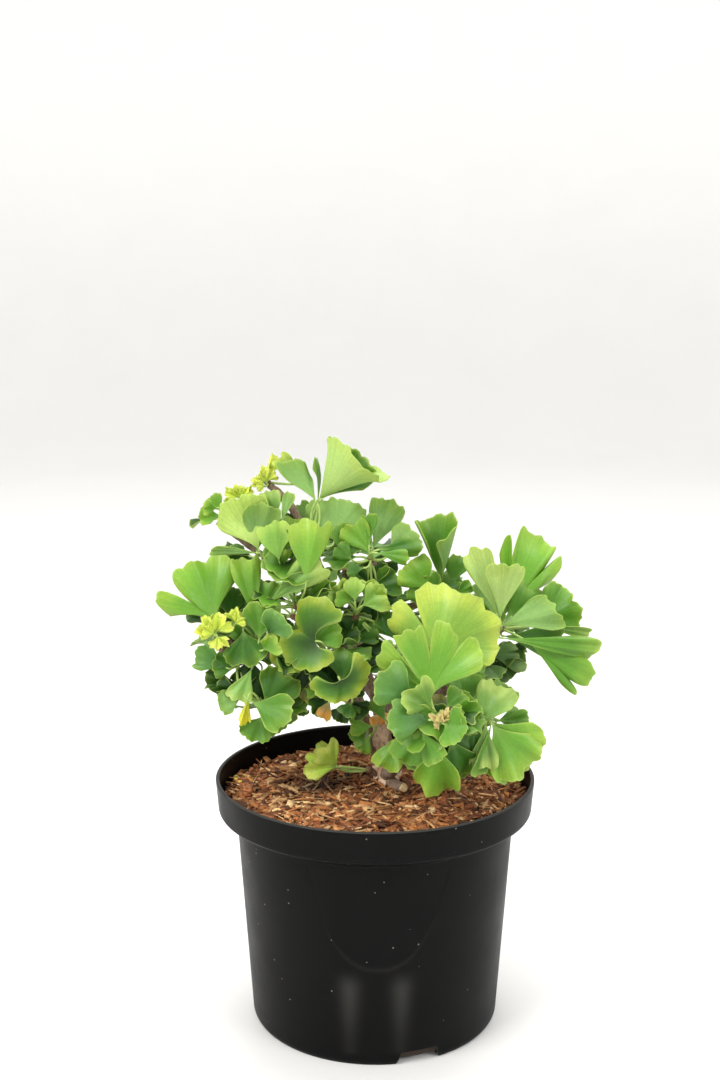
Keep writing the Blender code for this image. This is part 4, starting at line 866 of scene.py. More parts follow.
REST = [
    Leaf((337, 767, -2), (322, 749, 6), 74, 0, 24, 0.14, look="basal"),
    Leaf((336, 767, 0), (305, 768, 8), 62, 0, 28, 0.14, look="basal"),
    Leaf((258, 560, -16), (226, 556, -18), 64, 0, 20, 0.06, look="deep"),
    Leaf((284, 566, -4), (282, 550, 0), 70, 0, 20, 0.05, look="fresh"),
    Leaf((296, 568, -6), (302, 552, -4), 80, 0, 15, 0.06, look="deep"),
    Leaf((262, 612, 2), (266, 580, 0), 80, 0, 22, 0.07),
    Leaf((268, 603, 4), (319, 562, 10), 34, 0, 28, 0.06, look="pale"),
    Leaf((246, 628, -8), (230, 598, -12), 84, 0, 15, 0.07, look="deep"),
    Leaf((252, 668, 10), (236, 702, 16), 52, 0, 34, 0.07, look="pale"),
    Leaf((262, 700, 8), (302, 703, 6), 92, 0, 24, 0.08, look="deep"),
    Leaf((262, 704, 4), (284, 730, 8), 90, 0, 24, 0.08),
    Leaf((300, 660, 0), (292, 692, 2), 86, 0, 24, 0.08, look="dark"),
    Leaf((306, 641, 10), (270, 658, 15), 112, 0, 22, 0.07, look="folded"),
    Leaf((312, 655, 4), (318, 690, 6), 96, 0, 20, 0.08, look="dark"),
    Leaf((318, 618, 2), (304, 590, 2), 60, 0, 20, 0.06, look="deep"),
    Leaf((352, 640, -8), (354, 612, -6), 84, 0, 26, 0.08, look="dark"),
    Leaf((356, 646, -8), (382, 652, -4), 90, 0, 24, 0.08, look="dark"),
    Leaf((352, 650, -8), (362, 676, -4), 96, 0, 24, 0.08, look="deep"),
    Leaf((398, 642, -8), (386, 612, -8), 84, 0, 24, 0.08, look="deep"),
    Leaf((398, 642, -8), (410, 612, -10), 90, 0, 24, 0.08, look="dark"),
    Leaf((396, 648, -8), (388, 676, -4), 96, 0, 24, 0.08, look="dark"),
    Leaf((345, 562, -10), (354, 524, -12), 84, 0, 15, 0.06),
    Leaf((372, 554, -10), (349, 524, -8), 62, 0, 20, 0.07, look="fresh"),
    Leaf((372, 588, -14), (348, 577, -12), 100, 0, 26, 0.08, look="deep"),
    Leaf((372, 588, -14), (372, 560, -14), 96, 0, 26, 0.08, look="dark"),
    Leaf((374, 590, -14), (398, 576, -12), 96, 0, 26, 0.08, look="deep"),
    Leaf((374, 594, -14), (396, 604, -10), 96, 0, 26, 0.08, look="dark"),
    Leaf((372, 596, -14), (362, 620, -12), 96, 0, 26, 0.08, look="dark"),
    Leaf((388, 556, -8), (414, 530, -10), 74, 180, 20, 0.07),
    Leaf((438, 602, -14), (456, 578, -14), 92, 0, 22, 0.07, look="deep"),
    Leaf((478, 632, -8), (464, 600, -10), 104, 0, 20, 0.07, look="deep"),
    Leaf((482, 632, -8), (488, 600, -8), 96, 0, 20, 0.07),
    Leaf((498, 622, -2), (489, 574, -6), 56, 180, 16, 0.06),
    Leaf((505, 620, -6), (534, 582, -10), 54, 0, 18, 0.06),
    Leaf((503, 636, 0), (562, 642, 2), 44, 0, 20, 0.05, look="deep"),
    Leaf((492, 655, -6), (506, 682, -2), 90, 0, 26, 0.1, look="dark"),
    Leaf((494, 653, -6), (523, 668, 0), 70, 0, 26, 0.1, look="dark"),
    Leaf((418, 702, 30), (392, 662, 26), 84, 0, 24, 0.08),
    Leaf((424, 700, 28), (410, 654, 20), 70, 0, 20, 0.07, look="deep"),
    Leaf((441, 711, 46), (441, 741, 58), 190, 0, 38, 0.1),
    Leaf((478, 728, 44), (502, 684, 40), 62, 0, 24, 0.08, look="pale"),
    Leaf((462, 707, 34), (466, 672, 28), 88, 0, 24, 0.1),
    Leaf((492, 724, 42), (524, 773, 42), 80, 0, 20, 0.06, look="lime"),
    Leaf((302, 478, -16), (277, 457, -17), 44, 180, 12, 0.06, look="yellow_green"),
    Leaf((474, 722, 40), (478, 772, 40), 62, 0, 26, 0.1, look="deep"),
    Leaf((424, 726, 44), (404, 764, 44), 70, 0, 22, 0.08),
    Leaf((282, 556, -10), (270, 520, -8), 66, 0, 18, 0.07),
    Leaf((282, 553, -12), (300, 521, -12), 60, 0, 18, 0.07, look="fresh"),
    Leaf((300, 606, 0), (322, 572, 4), 60, 0, 24, 0.07),
    Leaf((254, 648, 8), (238, 620, 10), 70, 0, 24, 0.08),
    Leaf((262, 648, 6), (290, 640, 8), 80, 0, 24, 0.08, look="deep"),
    Leaf((300, 672, 4), (276, 690, 8), 84, 0, 26, 0.08),
    Leaf((446, 708, 44), (462, 690, 42), 84, 0, 26, 0.09),
    Leaf((436, 726, 50), (424, 750, 56), 90, 0, 28, 0.1),
    Leaf((448, 730, 40), (478, 752, 40), 92, 0, 22, 0.08, look="deep"),
    Leaf((420, 736, 40), (398, 762, 38), 80, 0, 18, 0.07),
    Leaf((442, 738, 36), (452, 782, 30), 84, 0, 18, 0.08, look="deep"),
    Leaf((486, 722, 42), (484, 770, 44), 44, 0, 30, 0.07, look="pale"),
    Leaf((490, 716, 36), (496, 690, 34), 70, 180, 16, 0.06),
    Leaf((498, 720, 34), (530, 724, 34), 70, 0, 22, 0.08),
    Leaf((366, 730, -2), (352, 742, 2), 80, 0, 18, 0.07),
    Leaf((330, 696, 10), (312, 712, 14), 80, 0, 24, 0.1, look="dark"),
    Leaf((346, 704, 8), (338, 722, 10), 90, 0, 24, 0.1, look="dark"),
    Leaf((222, 640, 6), (232, 624, 8), 70, 0, 24, 0.08, look="deep"),
    Leaf((236, 668, 6), (212, 664, 8), 84, 0, 24, 0.08, look="deep"),
    Leaf((238, 690, 8), (216, 688, 10), 80, 0, 30, 0.12, look="dark"),
    Leaf((352, 602, -2), (338, 592, 4), 96, 0, 34, 0.1, look="fresh"),
    Leaf((364, 604, -2), (378, 584, 2), 80, 0, 30, 0.1, look="fresh"),
    Leaf((322, 499, -16), (363, 455, -14), 64, 0, 30, 0.05, look="deep"),
    Leaf((342, 684, 16), (350, 650, 14), 96, 0, 20, 0.06, look="deep"),
    Leaf((350, 701, 0), (366, 716, 2), 84, 0, 22, 0.1, look="dark"),
    Leaf((350, 698, 0), (360, 686, 0), 90, 0, 22, 0.1, look="dark"),
    Leaf((346, 702, 2), (354, 718, 4), 80, 0, 22, 0.1, look="deep"),
    Leaf((440, 727, 46), (440, 704, 46), 150, 0, 26, 0.08, look="dark"),
    Leaf((442, 721, 50), (438, 715, 55), 150, 0, 30, 0.2, look="tan"),
    Leaf((445, 721, 50), (450, 714, 54), 150, 0, 30, 0.2, look="tan"),
    Leaf((443, 723, 52), (444, 717, 56), 150, 0, 20, 0.2, look="tan"),
    Leaf((440, 724, 52), (435, 722, 55), 150, 0, 30, 0.2, look="tan"),
    Leaf((448, 724, 52), (452, 721, 55), 150, 0, 30, 0.2, look="tan"),
    Leaf((290, 569, -4), (288, 585, 12), 214, 0, 40, look="bowl"),
    Leaf((276, 522, -11), (267, 492, -9), 58, 0, 18, 0.06, look="pale"),
    Leaf((262, 668, 2), (263, 702, 4), 88, 0, 26, 0.1, look="dark"),
    Leaf((250, 656, 2), (248, 690, 4), 84, 0, 26, 0.1, look="dark"),
    Leaf((262, 690, 2), (284, 702, 4), 96, 0, 26, 0.1, look="dark"),
    Leaf((270, 640, 2), (292, 622, 0), 84, 0, 26, 0.1, look="dark"),
    Leaf((214, 632, 16), (209, 616, 18), 110, 0, 20, 0.1, look="bud"),
    Leaf((216, 632, 17), (224, 617, 20), 110, 0, 20, 0.1, look="bud"),
    Leaf((214, 634, 18), (204, 628, 21), 120, 0, 20, 0.1, look="bud"),
    Leaf((217, 636, 18), (222, 648, 22), 120, 0, 20, 0.1, look="bud"),
    Leaf((234, 622, 14), (236, 610, 16), 120, 0, 20, 0.1, look="bud"),
    Leaf((235, 624, 15), (243, 616, 17), 120, 0, 20, 0.1, look="bud"),
    Leaf((239, 498, -16), (230, 488, -14), 120, 0, 20, 0.1, look="bud"),
    Leaf((241, 498, -16), (246, 488, -14), 120, 0, 20, 0.1, look="bud"),
    Leaf((266, 482, -16), (260, 472, -14), 120, 0, 20, 0.1, look="bud"),
    Leaf((267, 481, -16), (272, 470, -14), 110, 0, 20, 0.1, look="bud"),
    Leaf((265, 486, -15), (256, 486, -13), 110, 0, 20, 0.1, look="bud"),
    Leaf((257, 552, -6), (262, 503, -8), 62, 180, -14, 0.06),
    Leaf((352, 640, -8), (334, 620, -6), 90, 0, 24, 0.08, look="deep"),
    Leaf((354, 642, -8), (375, 626, -6), 88, 0, 24, 0.08, look="deep"),
    Leaf((436, 602, -14), (417, 578, -10), 92, 0, 22, 0.07),
    Leaf((432, 708, 48), (410, 690, 58), 84, 0, 30, 0.12, look="pale"),
    Leaf((450, 716, 46), (480, 716, 54), 88, 0, 26, 0.12),
    Leaf((428, 722, 48), (400, 744, 56), 88, 0, 28, 0.12),
    Leaf((312, 641, 10), (339, 626, 12), 92, 0, 20, 0.06),
]
"""Leaves that fill the shoots further, each grown from the crown nearest to its foot."""

CROWN_OUTLINE = np.array([
    (197, 515), (205, 498), (232, 484), (262, 455), (284, 460), (312, 472), (345, 500), (360, 495),
    (405, 497), (410, 540), (425, 530), (455, 530), (462, 556), (498, 550), (512, 535), (542, 540),
    (560, 568), (572, 592), (598, 645), (586, 680), (560, 668), (527, 655), (520, 680), (492, 682),
    (510, 690), (520, 710), (535, 722), (532, 770), (500, 780), (470, 788), (438, 792), (415, 772),
    (395, 768), (370, 758), (350, 738), (335, 715), (290, 722), (255, 738), (218, 712), (202, 690),
    (192, 655), (208, 625), (172, 600), (185, 565), (215, 555), (210, 540),
])
INNER_LEAVES = 5

Look = namedtuple("Look", "upper under patch patches core", defaults=((0.30, 0.50, 0.10, 0.3),))
# Colours of a leaf's upper side, underside and patches, how much of it the patches take, and the
# colour round its foot, with how far that reaches. Where that colour is dark, it is painted shade
# that the cupped blade would cast round its own foot.
"""Colours of a leaf's upper side, underside and patches, how much of it the patches take, and
the colour round its foot, with how far that reaches."""

LOOKS = {
    "green": Look((0.115, 0.300, 0.026), (0.255, 0.450, 0.120), (0.30, 0.47, 0.06), 0.15),
    # Painted shade: the folded look's dark core round the foot.
    "folded": Look(
        (0.098, 0.255, 0.024), (0.225, 0.410, 0.100), (0.50, 0.56, 0.05),
        0.25, (0.008, 0.036, 0.005, 0.95),
    ),
    "fresh": Look((0.190, 0.420, 0.040), (0.300, 0.490, 0.120), (0.42, 0.56, 0.07), 0.25),
    "lime": Look((0.170, 0.400, 0.036), (0.280, 0.470, 0.120), (0.36, 0.53, 0.06), 0.25),
    "pale": Look((0.220, 0.420, 0.080), (0.420, 0.590, 0.170), (0.50, 0.63, 0.15), 0.3),
    # Painted shade: the deep look is the leaf's green darkened as if in the crown's shadow.
    "deep": Look((0.060, 0.190, 0.018), (0.160, 0.310, 0.080), (0.20, 0.36, 0.04), 0.2),
    # Painted shade: the dark look is the leaf's green darkened as if deep in the crown's shadow,
    # with a dark core round the foot.
    "dark": Look(
        (0.022, 0.085, 0.008), (0.070, 0.170, 0.035), (0.12, 0.22, 0.02),
        0.12, (0.01, 0.04, 0.005, 0.6),
    ),
    # Painted shade: the blue look's darker core round the foot.
    "blue": Look(
        (0.085, 0.235, 0.040), (0.190, 0.340, 0.120), (0.20, 0.38, 0.06),
        0.25, (0.03, 0.11, 0.015, 0.5),
    ),
    "shade": Look(
        (0.190, 0.350, 0.120), (0.330, 0.500, 0.230), (0.36, 0.54, 0.18),
        0.3, (0.05, 0.12, 0.03, 0.4),
    ),
    # Painted light: the basal look is lighter than a leaf's own green, as if lit under the crown.
    "basal": Look((0.600, 0.820, 0.130), (0.620, 0.800, 0.180), (0.85, 0.85, 0.24), 0.3),
    "olive": Look((0.090, 0.130, 0.020), (0.180, 0.220, 0.060), (0.30, 0.26, 0.04), 0.4),
    # Painted shade: the bowl look's dark core fills most of the blade, as shade inside its cup.
    "bowl": Look(
        (0.105, 0.280, 0.026), (0.255, 0.450, 0.120), (0.26, 0.42, 0.06),
        0.12, (0.008, 0.034, 0.004, 0.98),
    ),
    "yellow": Look((0.620, 0.640, 0.040), (0.620, 0.640, 0.100), (0.75, 0.70, 0.05), 0.5),
    "yellow_green": Look((0.310, 0.530, 0.075), (0.420, 0.560, 0.130), (0.66, 0.72, 0.10), 0.26),
    "bright": Look((0.260, 0.490, 0.080), (0.580, 0.780, 0.200), (0.55, 0.70, 0.14), 0.25),
    "tan": Look((0.82, 0.70, 0.34), (0.86, 0.76, 0.44), (0.62, 0.42, 0.14), 0.1),
    "orange": Look((0.260, 0.190, 0.030), (0.400, 0.300, 0.080), (0.50, 0.24, 0.03), 0.5),
    "bud": Look((0.66, 0.78, 0.11), (0.70, 0.80, 0.20), (0.82, 0.84, 0.16), 0.3),
}
MARGIN_TONE = np.array([0.46, 0.60, 0.13])
CRUMPLED = {"bud", "yellow", "tan"}
STALK_TONE = (0.30, 0.47, 0.10)
HALF_BLADE = 0.17
STALK_RADIUS = 0.55
MARGIN_ROUND = 0.27
BLADE_STEPS = (
    0.02, 0.06, 0.12, 0.2, 0.3, 0.41, 0.52, 0.63, 0.73, 0.82, 0.89, 0.94, 0.972, 0.99, 1.0,
)
CRENATION = ((0.024, 6.0), (0.019, 15), (0.017, 31), (0.007, 61))
NICKS = (0.060, 5.5)
RUFFLES = ((0.062, 4.3, 2), (0.056, 9.5, 4), (0.022, 21, 6))
CRUMPLES = ((0.17, 7, 1), (0.12, 15, 2))
ROLLED_CUP = 55
ROLLED_RUFFLE = 0.35
BROAD_FOLD = (-0.09, 0.16)
BENT_MARGIN = (-0.02, 0.12)
MARGIN_SHOWN = (0.3, 0.8)
UPPER_ROUGHNESS = 0.36
UNDER_ROUGHNESS = 0.62
STALK_ROUGHNESS = 0.4
SCALE_TONE = (0.20, 0.10, 0.045)
SCALE_ROUGHNESS = 0.8
HIDDEN_STALK = (9, 15)
HIDDEN_LENGTH = (19, 27)
INNER_STALK = (5, 11)
INNER_LENGTH = (13, 20)
SHIFTS = (0, 2, -2, 4, -4, 6, -6, 9, -9, 12, -12, 16, -16, 20, -20)
TILTS = (0, 4, -4, 9, -9)
KEPT_CLEAR = (((379.0, 728.0), 24.0), ((516.0, 738.0), 13.0))
WAIST = 0.5
BUD_RADIUS = 1.9
BUD_HEIGHT = 3.2
TWIG_GAP = 0.3
LOST = 1.6

Pose = namedtuple("Pose", "foot along face side length")


def across_places(leaf, count):
    """Places across a blade from -1 to 1, even but for a close set at each slit."""
    even = np.linspace(-1, 1, count)
    near = np.array([0.12, 0.28, 0.5, 0.75, 1.0, 1.2, 1.5])
    close = np.concatenate([-near, [0], near])
    for slit, _, half in leaf.slits:
        even = even[np.abs(even - slit) > half * 1.6]
        even = np.concatenate([even, slit + half * close])
    return np.unique(np.clip(np.concatenate([even, [-1, 1]]), -1, 1))


def blade_middle(leaf, pose, across, out, margin=0.0):
    """A fan rolled on a cone whose tip is the leaf's foot.

    With half angle beta, the line from the foot at the turn psi runs along
    axis cos(beta) + sin(beta) (side sin(psi) - back cos(psi)). Near the foot the fan is
    narrower by WAIST. The margin's distance is 1, less its rounded ends and its slits, whose
    depth falls off with the power 1.6 of the way across them. It waves along the normal and
    bends by the square of the way out. Gives the points and the normals of the upper side.
    """
    hollow = math.copysign(1.0, leaf.cup)
    beta = math.radians(90 - abs(leaf.cup))
    face = pose.face * hollow
    axis = pose.along * math.cos(beta) + face * math.sin(beta)
    back = face * math.cos(beta) - pose.along * math.sin(beta)
    waist = 1 - WAIST * (1 - out) ** 2
    psi = (across * waist * math.radians(leaf.spread / 2) / math.sin(beta))[..., None]
    line = axis * math.cos(beta) + math.sin(beta) * (pose.side * np.sin(psi) - back * np.cos(psi))
    normal = axis * math.sin(beta) + math.cos(beta) * (back * np.cos(psi) - pose.side * np.sin(psi))
    reach = (1 - MARGIN_ROUND * np.abs(across) ** 8) * (1 - leaf.taper * across**2)
    reach = reach * (1 + leaf.skew * across) * (1 + margin)
    for slit, depth, half in leaf.slits:
        way = np.clip(1 - np.abs(across - slit) / (half * 1.3), 0, None)
        reach = reach * (1 - depth * way**1.6)
    wave = leaf.ruffle * np.sin(leaf.beats * math.pi * across + leaf.phase)
    points = pose.foot + pose.length * (
        line * (reach * out)[..., None] + normal * hollow * (wave * out**2)[..., None]
        + pose.face * (leaf.bend * out**2)[..., None]
    )
    return points, normal * hollow


def pose_between(foot, tip, face, roll):
    """A leaf's place: its foot, the way to its tip, the way its upper face looks, its side."""
    along = unit(tip - foot)
    level = unit(face - along * face.dot(along))
    side = np.cross(along, level)
    face = level * math.cos(roll) + side * math.sin(roll)
    return Pose(foot, along, face, np.cross(along, face), np.linalg.norm(tip - foot))


def shown_poses(leaf):
    """The leaf where it shows, then nearer or farther, and tilted a little."""
    for shift in SHIFTS:
        for tilt in TILTS:
            foot = seen((*leaf.foot[:2], leaf.foot[2] + shift))[0]
            tip = seen((*leaf.tip[:2], leaf.tip[2] + shift + tilt))[0]
            yield pose_between(foot, tip, EYE - foot, math.radians(leaf.roll))


def hidden_leaf(crown, index, count, rng):
    """A leaf of a shoot's far side, and the places tried for it, by even turns round the
    shoot."""
    leaf = Leaf(
        foot=None, tip=None, spread=rng.uniform(80, 125), cup=rng.uniform(-10, 30),
        ruffle=rng.uniform(0.02, 0.06), phase=rng.uniform(0, 6),
    )
    stalk = rng.uniform(*HIDDEN_STALK)
    length = rng.uniform(*HIDDEN_LENGTH)
    first = math.radians(90 + (index + 0.5 - count / 2) * 190 / count) + rng.uniform(-0.2, 0.2)
    rise = rng.uniform(-0.15, 0.75)
    poses = []
    for turn in (0, 0.25, -0.25, 0.5, -0.5, 0.8, -0.8, 1.2, -1.2):
        for lift in (0, 0.3, -0.3, 0.6):
            way = np.array([
                math.cos(first + turn) * math.cos(rise + lift),
                math.sin(first + turn) * math.cos(rise + lift), math.sin(rise + lift),
            ])
            foot = crown + way * stalk
            tip = foot + unit(way + (0, 0, -0.35)) * length
            poses.append(pose_between(foot, tip, np.array([0, 0, 1.0]) + way * 0.2, 0.0))
    return leaf, poses


def seen_at(places):
    """Where places in mm show in the picture: the eye's way to each, over its depth."""
    way = places - EYE
    sine, cosine = math.sin(EYE_PITCH), math.cos(EYE_PITCH)
    depth = way[..., 1] * cosine - way[..., 2] * sine
    rise = way[..., 1] * sine + way[..., 2] * cosine
    return np.stack([
        PICTURE_MIDDLE[0] + EYE_REACH * way[..., 0] / depth,
        PICTURE_MIDDLE[1] - EYE_REACH * rise / depth,
    ], axis=-1)


def inside(outline, places):
    """Whether places lie in a closed outline: a line to the right crosses it an odd number
    of times."""
    x, y = places[:, None, 0], places[:, None, 1]
    ax, ay = outline.T
    bx, by = np.roll(outline, -1, axis=0).T
    spans = (ay > y) != (by > y)
    meets = ax + (y - ay) / np.where(by == ay, 1e-9, by - ay) * (bx - ax)
    return ((spans & (x < meets)).sum(axis=1) % 2) == 1


def inner_leaves(crown, order):
    """Small leaves round a crown's sides and back, each kept if it shows inside the outline
    of the tree's whole crown, and clear of the trunk's cut top and the right low fan."""
    draw = np.random.default_rng(order + 500)
    for _ in range(INNER_LEAVES):
        turn, rise = draw.uniform(-0.12, 1.12) * math.pi, draw.uniform(-0.35, 0.9)
        way = np.array([
            math.cos(turn) * math.cos(rise), math.sin(turn) * math.cos(rise), math.sin(rise),
        ])
        foot = crown + way * draw.uniform(*INNER_STALK)
        tip = foot + unit(way + (0, 0, -0.25)) * draw.uniform(*INNER_LENGTH)
        leaf = Leaf(
            None, None, draw.uniform(80, 120), cup=draw.uniform(10, 35), beats=3.0,
            ruffle=draw.uniform(0.05, 0.10), phase=draw.uniform(0, 6),
            # Of these looks, deep and dark are painted shade.
            look=("deep", "green", "dark")[draw.integers(3)],
        )
        shown = seen_at(np.array([foot, (foot + tip) / 2, tip]))
        clear = all(np.linalg.norm(shown - spot, axis=1).min() > far for spot, far in KEPT_CLEAR)
        if clear and inside(CROWN_OUTLINE, shown).all():
            yield leaf, pose_between(foot, tip, np.array([0, -0.25, 1.0]) + way * 0.2, 0.0)


def fitted_pose(leaf, poses, solid):
    """Of the places that a leaf may take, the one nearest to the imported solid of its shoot,
    and how far from it the blade's middle lies on average."""
    across, out = np.meshgrid(np.linspace(-0.9, 0.9, 7), (0.55, 0.96))
    best = (1e9, None)
    for pose in poses:
        points, _ = blade_middle(leaf, pose, across, out)
        gaps = [solid.find_nearest(Vector(point * MM))[3] for point in points.reshape(-1, 3)]
        best = min(best, (sum(gaps) / len(gaps) / MM, pose), key=lambda pair: pair[0])
    return best


def blade_part(leaf, pose, order, turn, columns=45):
    """A blade: its middle surface moved out on both sides by half its thickness, and closed
    round its edge.

    The margin's distance gets a fine crenation, the sum of four sines less sharp nicks. The
    surface gets three ruffles, sines that grow with a power of the way out, one broad fold
    and a bent margin; a leaf that is still crumpled gets two more. The tone blends from the
    foot's to the leaf's, to patches that noise spreads in from the margin, and to the
    margin's own. Where a look's foot colour is dark, it is painted shade.
    """
    look = LOOKS[leaf.look]
    places = across_places(leaf, columns)
    across, out = np.meshgrid(places, BLADE_STEPS)
    span = math.radians(leaf.spread) * 0.5
    phases = turn.uniform(0, 6.28, 4)
    angle = across * span
    crumple = float(leaf.look in CRUMPLED)
    crenate = sum(size * np.sin(beat * angle + at) for (size, beat), at in zip(CRENATION, phases))
    crenate = crenate - NICKS[0] * np.abs(np.sin(NICKS[1] * angle + phases[3])) ** 9
    crenate = crenate * out**6 * (1 + 1.2 * crumple)
    middle, upper = blade_middle(leaf, pose, across, out, crenate)
    phases = turn.uniform(0, 6.28, 3)
    ruffle = sum(
        size * np.sin(beat * angle + at) * out**power
        for (size, beat, power), at in zip(RUFFLES, phases)
    )
    fold = turn.uniform(*BROAD_FOLD)
    ruffle = ruffle + fold * np.sin(1.7 * angle + phases[2]) * eased(out, 0.5, 1.1) ** 2
    ruffle = ruffle - turn.uniform(*BENT_MARGIN) * eased(out, 0.6, 1.05) ** 2
    for (size, beat, power), at in zip(CRUMPLES, (phases[1], phases[0])):
        ruffle = ruffle + crumple * size * np.sin(beat * angle + at) * out**power
    if abs(leaf.cup) > ROLLED_CUP:
        ruffle = ruffle * ROLLED_RUFFLE
    middle = middle + upper * (ruffle * pose.length)[..., None]
    down = np.gradient(middle, axis=0)
    over = np.gradient(middle, axis=1)
    normal = np.cross(over, down)
    flip = np.sum(normal * upper) < 0
    normal = unit(normal) * (-1 if flip else 1)
    thick = HALF_BLADE * (1 + 1.6 * np.exp(-out / 0.07))
    rows, columns = across.shape
    top = (middle + normal * thick[..., None]).reshape(-1, 3)
    bottom = (middle - normal * thick[..., None]).reshape(-1, 3)
    count = rows * columns
    faces = grid_faces(rows, columns, False)
    number = np.arange(count).reshape(rows, columns)
    edge = np.concatenate([number[0, :-1], number[:-1, -1], number[-1, :0:-1], number[:0:-1, 0]])
    after = np.roll(edge, -1)
    rim = np.stack([edge, edge + count, after + count, after], axis=-1)
    faces = np.vstack([faces, faces[:, ::-1] + count, rim])
    if flip:
        faces = faces[:, ::-1]
    patch = rough(middle, 9.0, order + 40) * 0.7 + rough(middle, 3.5, order + 80) * 0.3
    patch = eased(out + 0.22 * patch + 0.5 * look.patches, 0.72, 1.16)
    patch = patch[..., None] * (0.4 + look.patches)
    edge_tone = np.maximum(eased(out, 0.955, 0.995), eased(np.abs(across), 0.98, 1.0))
    edge_tone = edge_tone[..., None] * turn.uniform(*MARGIN_SHOWN)
    # Round the foot the tone blends to the look's core colour; for the dark cores this is painted
    # shade.
    core = np.array(look.core[:3])
    foot_tone = (1 - eased(out, 0.02, look.core[3]))[..., None] * 0.85
    shade = (1 + 0.10 * rough(middle, 11.0, order + 7))[..., None] * turn.uniform(0.9, 1.1)
    tones = []
    for base, roughness in ((look.upper, UPPER_ROUGHNESS), (look.under, UNDER_ROUGHNESS)):
        tone = np.array(base) * shade * (1 - patch) + np.array(look.patch) * patch
        tone = tone * (1 - foot_tone) + core * foot_tone
        tone = tone * (1 - edge_tone) + MARGIN_TONE * edge_tone
        skin = np.full((*out.shape, 1), roughness)
        tones.append(np.concatenate([tone, skin], axis=-1).reshape(-1, 4))
    uv = np.stack([angle * 4 + order * 13.0, out * pose.length / 10], axis=-1).reshape(-1, 2)
    return Part(np.vstack([top, bottom]) * MM, [faces], np.vstack(tones), np.vstack([uv, uv]))


def stalk_part(crown, pose):
    """A stalk: a quadratic curve from the scales, whose control point lies straight behind
    the blade's foot, 0.4 of the way back, and a little of the blade's middle line."""
    reach = np.linalg.norm(pose.foot - crown)
    knee = pose.foot - pose.along * 0.4 * reach
    start = crown + unit(knee - crown) * 0.5
    t = np.linspace(0, 1, 9)[:, None]
    path = start * (1 - t) ** 2 + knee * 2 * t * (1 - t) + pose.foot * t * t
    path = np.vstack([path, pose.foot + pose.along * pose.length * 0.06])
    radii = STALK_RADIUS * np.concatenate([np.linspace(1.35, 0.95, 9), [0.45]])
    points, faces = swept(path, radii, 8)
    tone = np.tile((*STALK_TONE, STALK_ROUGHNESS), (len(points), 1))
    return Part(points * MM, faces, tone, finish=1)


def scales_part(crown, way, order):
    """The spur's ring of scales: a turned bud whose radius has ridges, eight round its axis
    and five along it, each over the next."""
    t = np.linspace(0, 1, 17)
    line = crown + np.outer((t - 0.5) * BUD_HEIGHT * 1.15, way)
    turn = np.linspace(0, 2 * np.pi, 16, endpoint=False)
    swell = BUD_RADIUS * (0.86 + 0.2 * np.sin(np.pi * t) - 0.25 * t)
    step = (t * 5) % 1.0
    ridge = np.cos(4 * turn + np.floor(t * 5)[:, None])
    radii = swell[:, None] * (1.1 - 0.16 * step[:, None] + 0.05 * ridge)
    points, faces = swept(line, radii, 16)
    shade = 0.75 + 0.25 * rough(points, 1.2, order + 5)[:, None]
    tone = np.concatenate([shade * SCALE_TONE, np.full((len(points), 1), SCALE_ROUGHNESS)], axis=1)
    return Part(points * MM, faces, tone, finish=2)


leaf_skin, shader = new_finish("ginkgo_leaf_skin", Specular_IOR_Level=0.4)
tree = leaf_skin.node_tree
tone = add(tree, "Attribute", {"attribute_name": "tone"})
place = add(tree, "UVMap", {"uv_map": "along"}).outputs[0]
wide = add(tree, "Mapping", Vector=place, Scale=(7.0, 0.12, 1.0)).outputs[0]
fine = add(tree, "Mapping", Vector=place, Scale=(19.0, 0.2, 1.0)).outputs[0]
ribs = noise(tree, wide, 1.0, 1.0)
veins = noise(tree, fine, 1.0, 2.0)
streak = band(tree, veins, 0.3, 0.7, 0.95, 1.05)
streak = sum_of(tree, "ADD", band(tree, ribs, 0.3, 0.7, -0.06, 0.06), streak)
skin_place = add(tree, "TexCoord").outputs["Object"]
pores = noise(tree, skin_place, 700.0, 3.0)
streak = sum_of(tree, "MULTIPLY", streak, band(tree, pores, 0.3, 0.7, 0.94, 1.06))
grey = add(tree, "CombineColor", _0=streak, _1=streak, _2=streak).outputs[0]
colour = blend(tree, 1.0, tone.outputs["Color"], grey, "MULTIPLY")
tree.links.new(colour, shader.inputs["Base Color"])
tree.links.new(tone.outputs["Alpha"], shader.inputs["Roughness"])
relief = sum_of(tree, "ADD", ribs, sum_of(tree, "MULTIPLY", veins, 0.6))
normal = raised(tree, relief, 0.00018, 0.6)
tree.links.new(normal, shader.inputs["Normal"])
through = blend(tree, 1.0, colour, (1.0, 1.0, 0.45, 1), "MULTIPLY")
glow = add(tree, "BsdfTranslucent", Color=through, Normal=normal).outputs[0]
mixed = add(tree, "MixShader", _0=0.3, _1=shader.outputs[0], _2=glow).outputs[0]
tree.links.new(mixed, tree.nodes["Material Output"].inputs["Surface"])

stalk_skin, shader = new_finish("leaf_stalk", Specular_IOR_Level=0.4)
tree = stalk_skin.node_tree
tone = add(tree, "Attribute", {"attribute_name": "tone"})
place = add(tree, "TexCoord").outputs["Object"]
mottle = noise(tree, place, 400.0, 3.0)
tree.links.new(
    blend(tree, band(tree, mottle, 0.4, 0.75), tone.outputs["Color"], (0.42, 0.50, 0.16, 1)),
    shader.inputs["Base Color"],
)
tree.links.new(tone.outputs["Alpha"], shader.inputs["Roughness"])

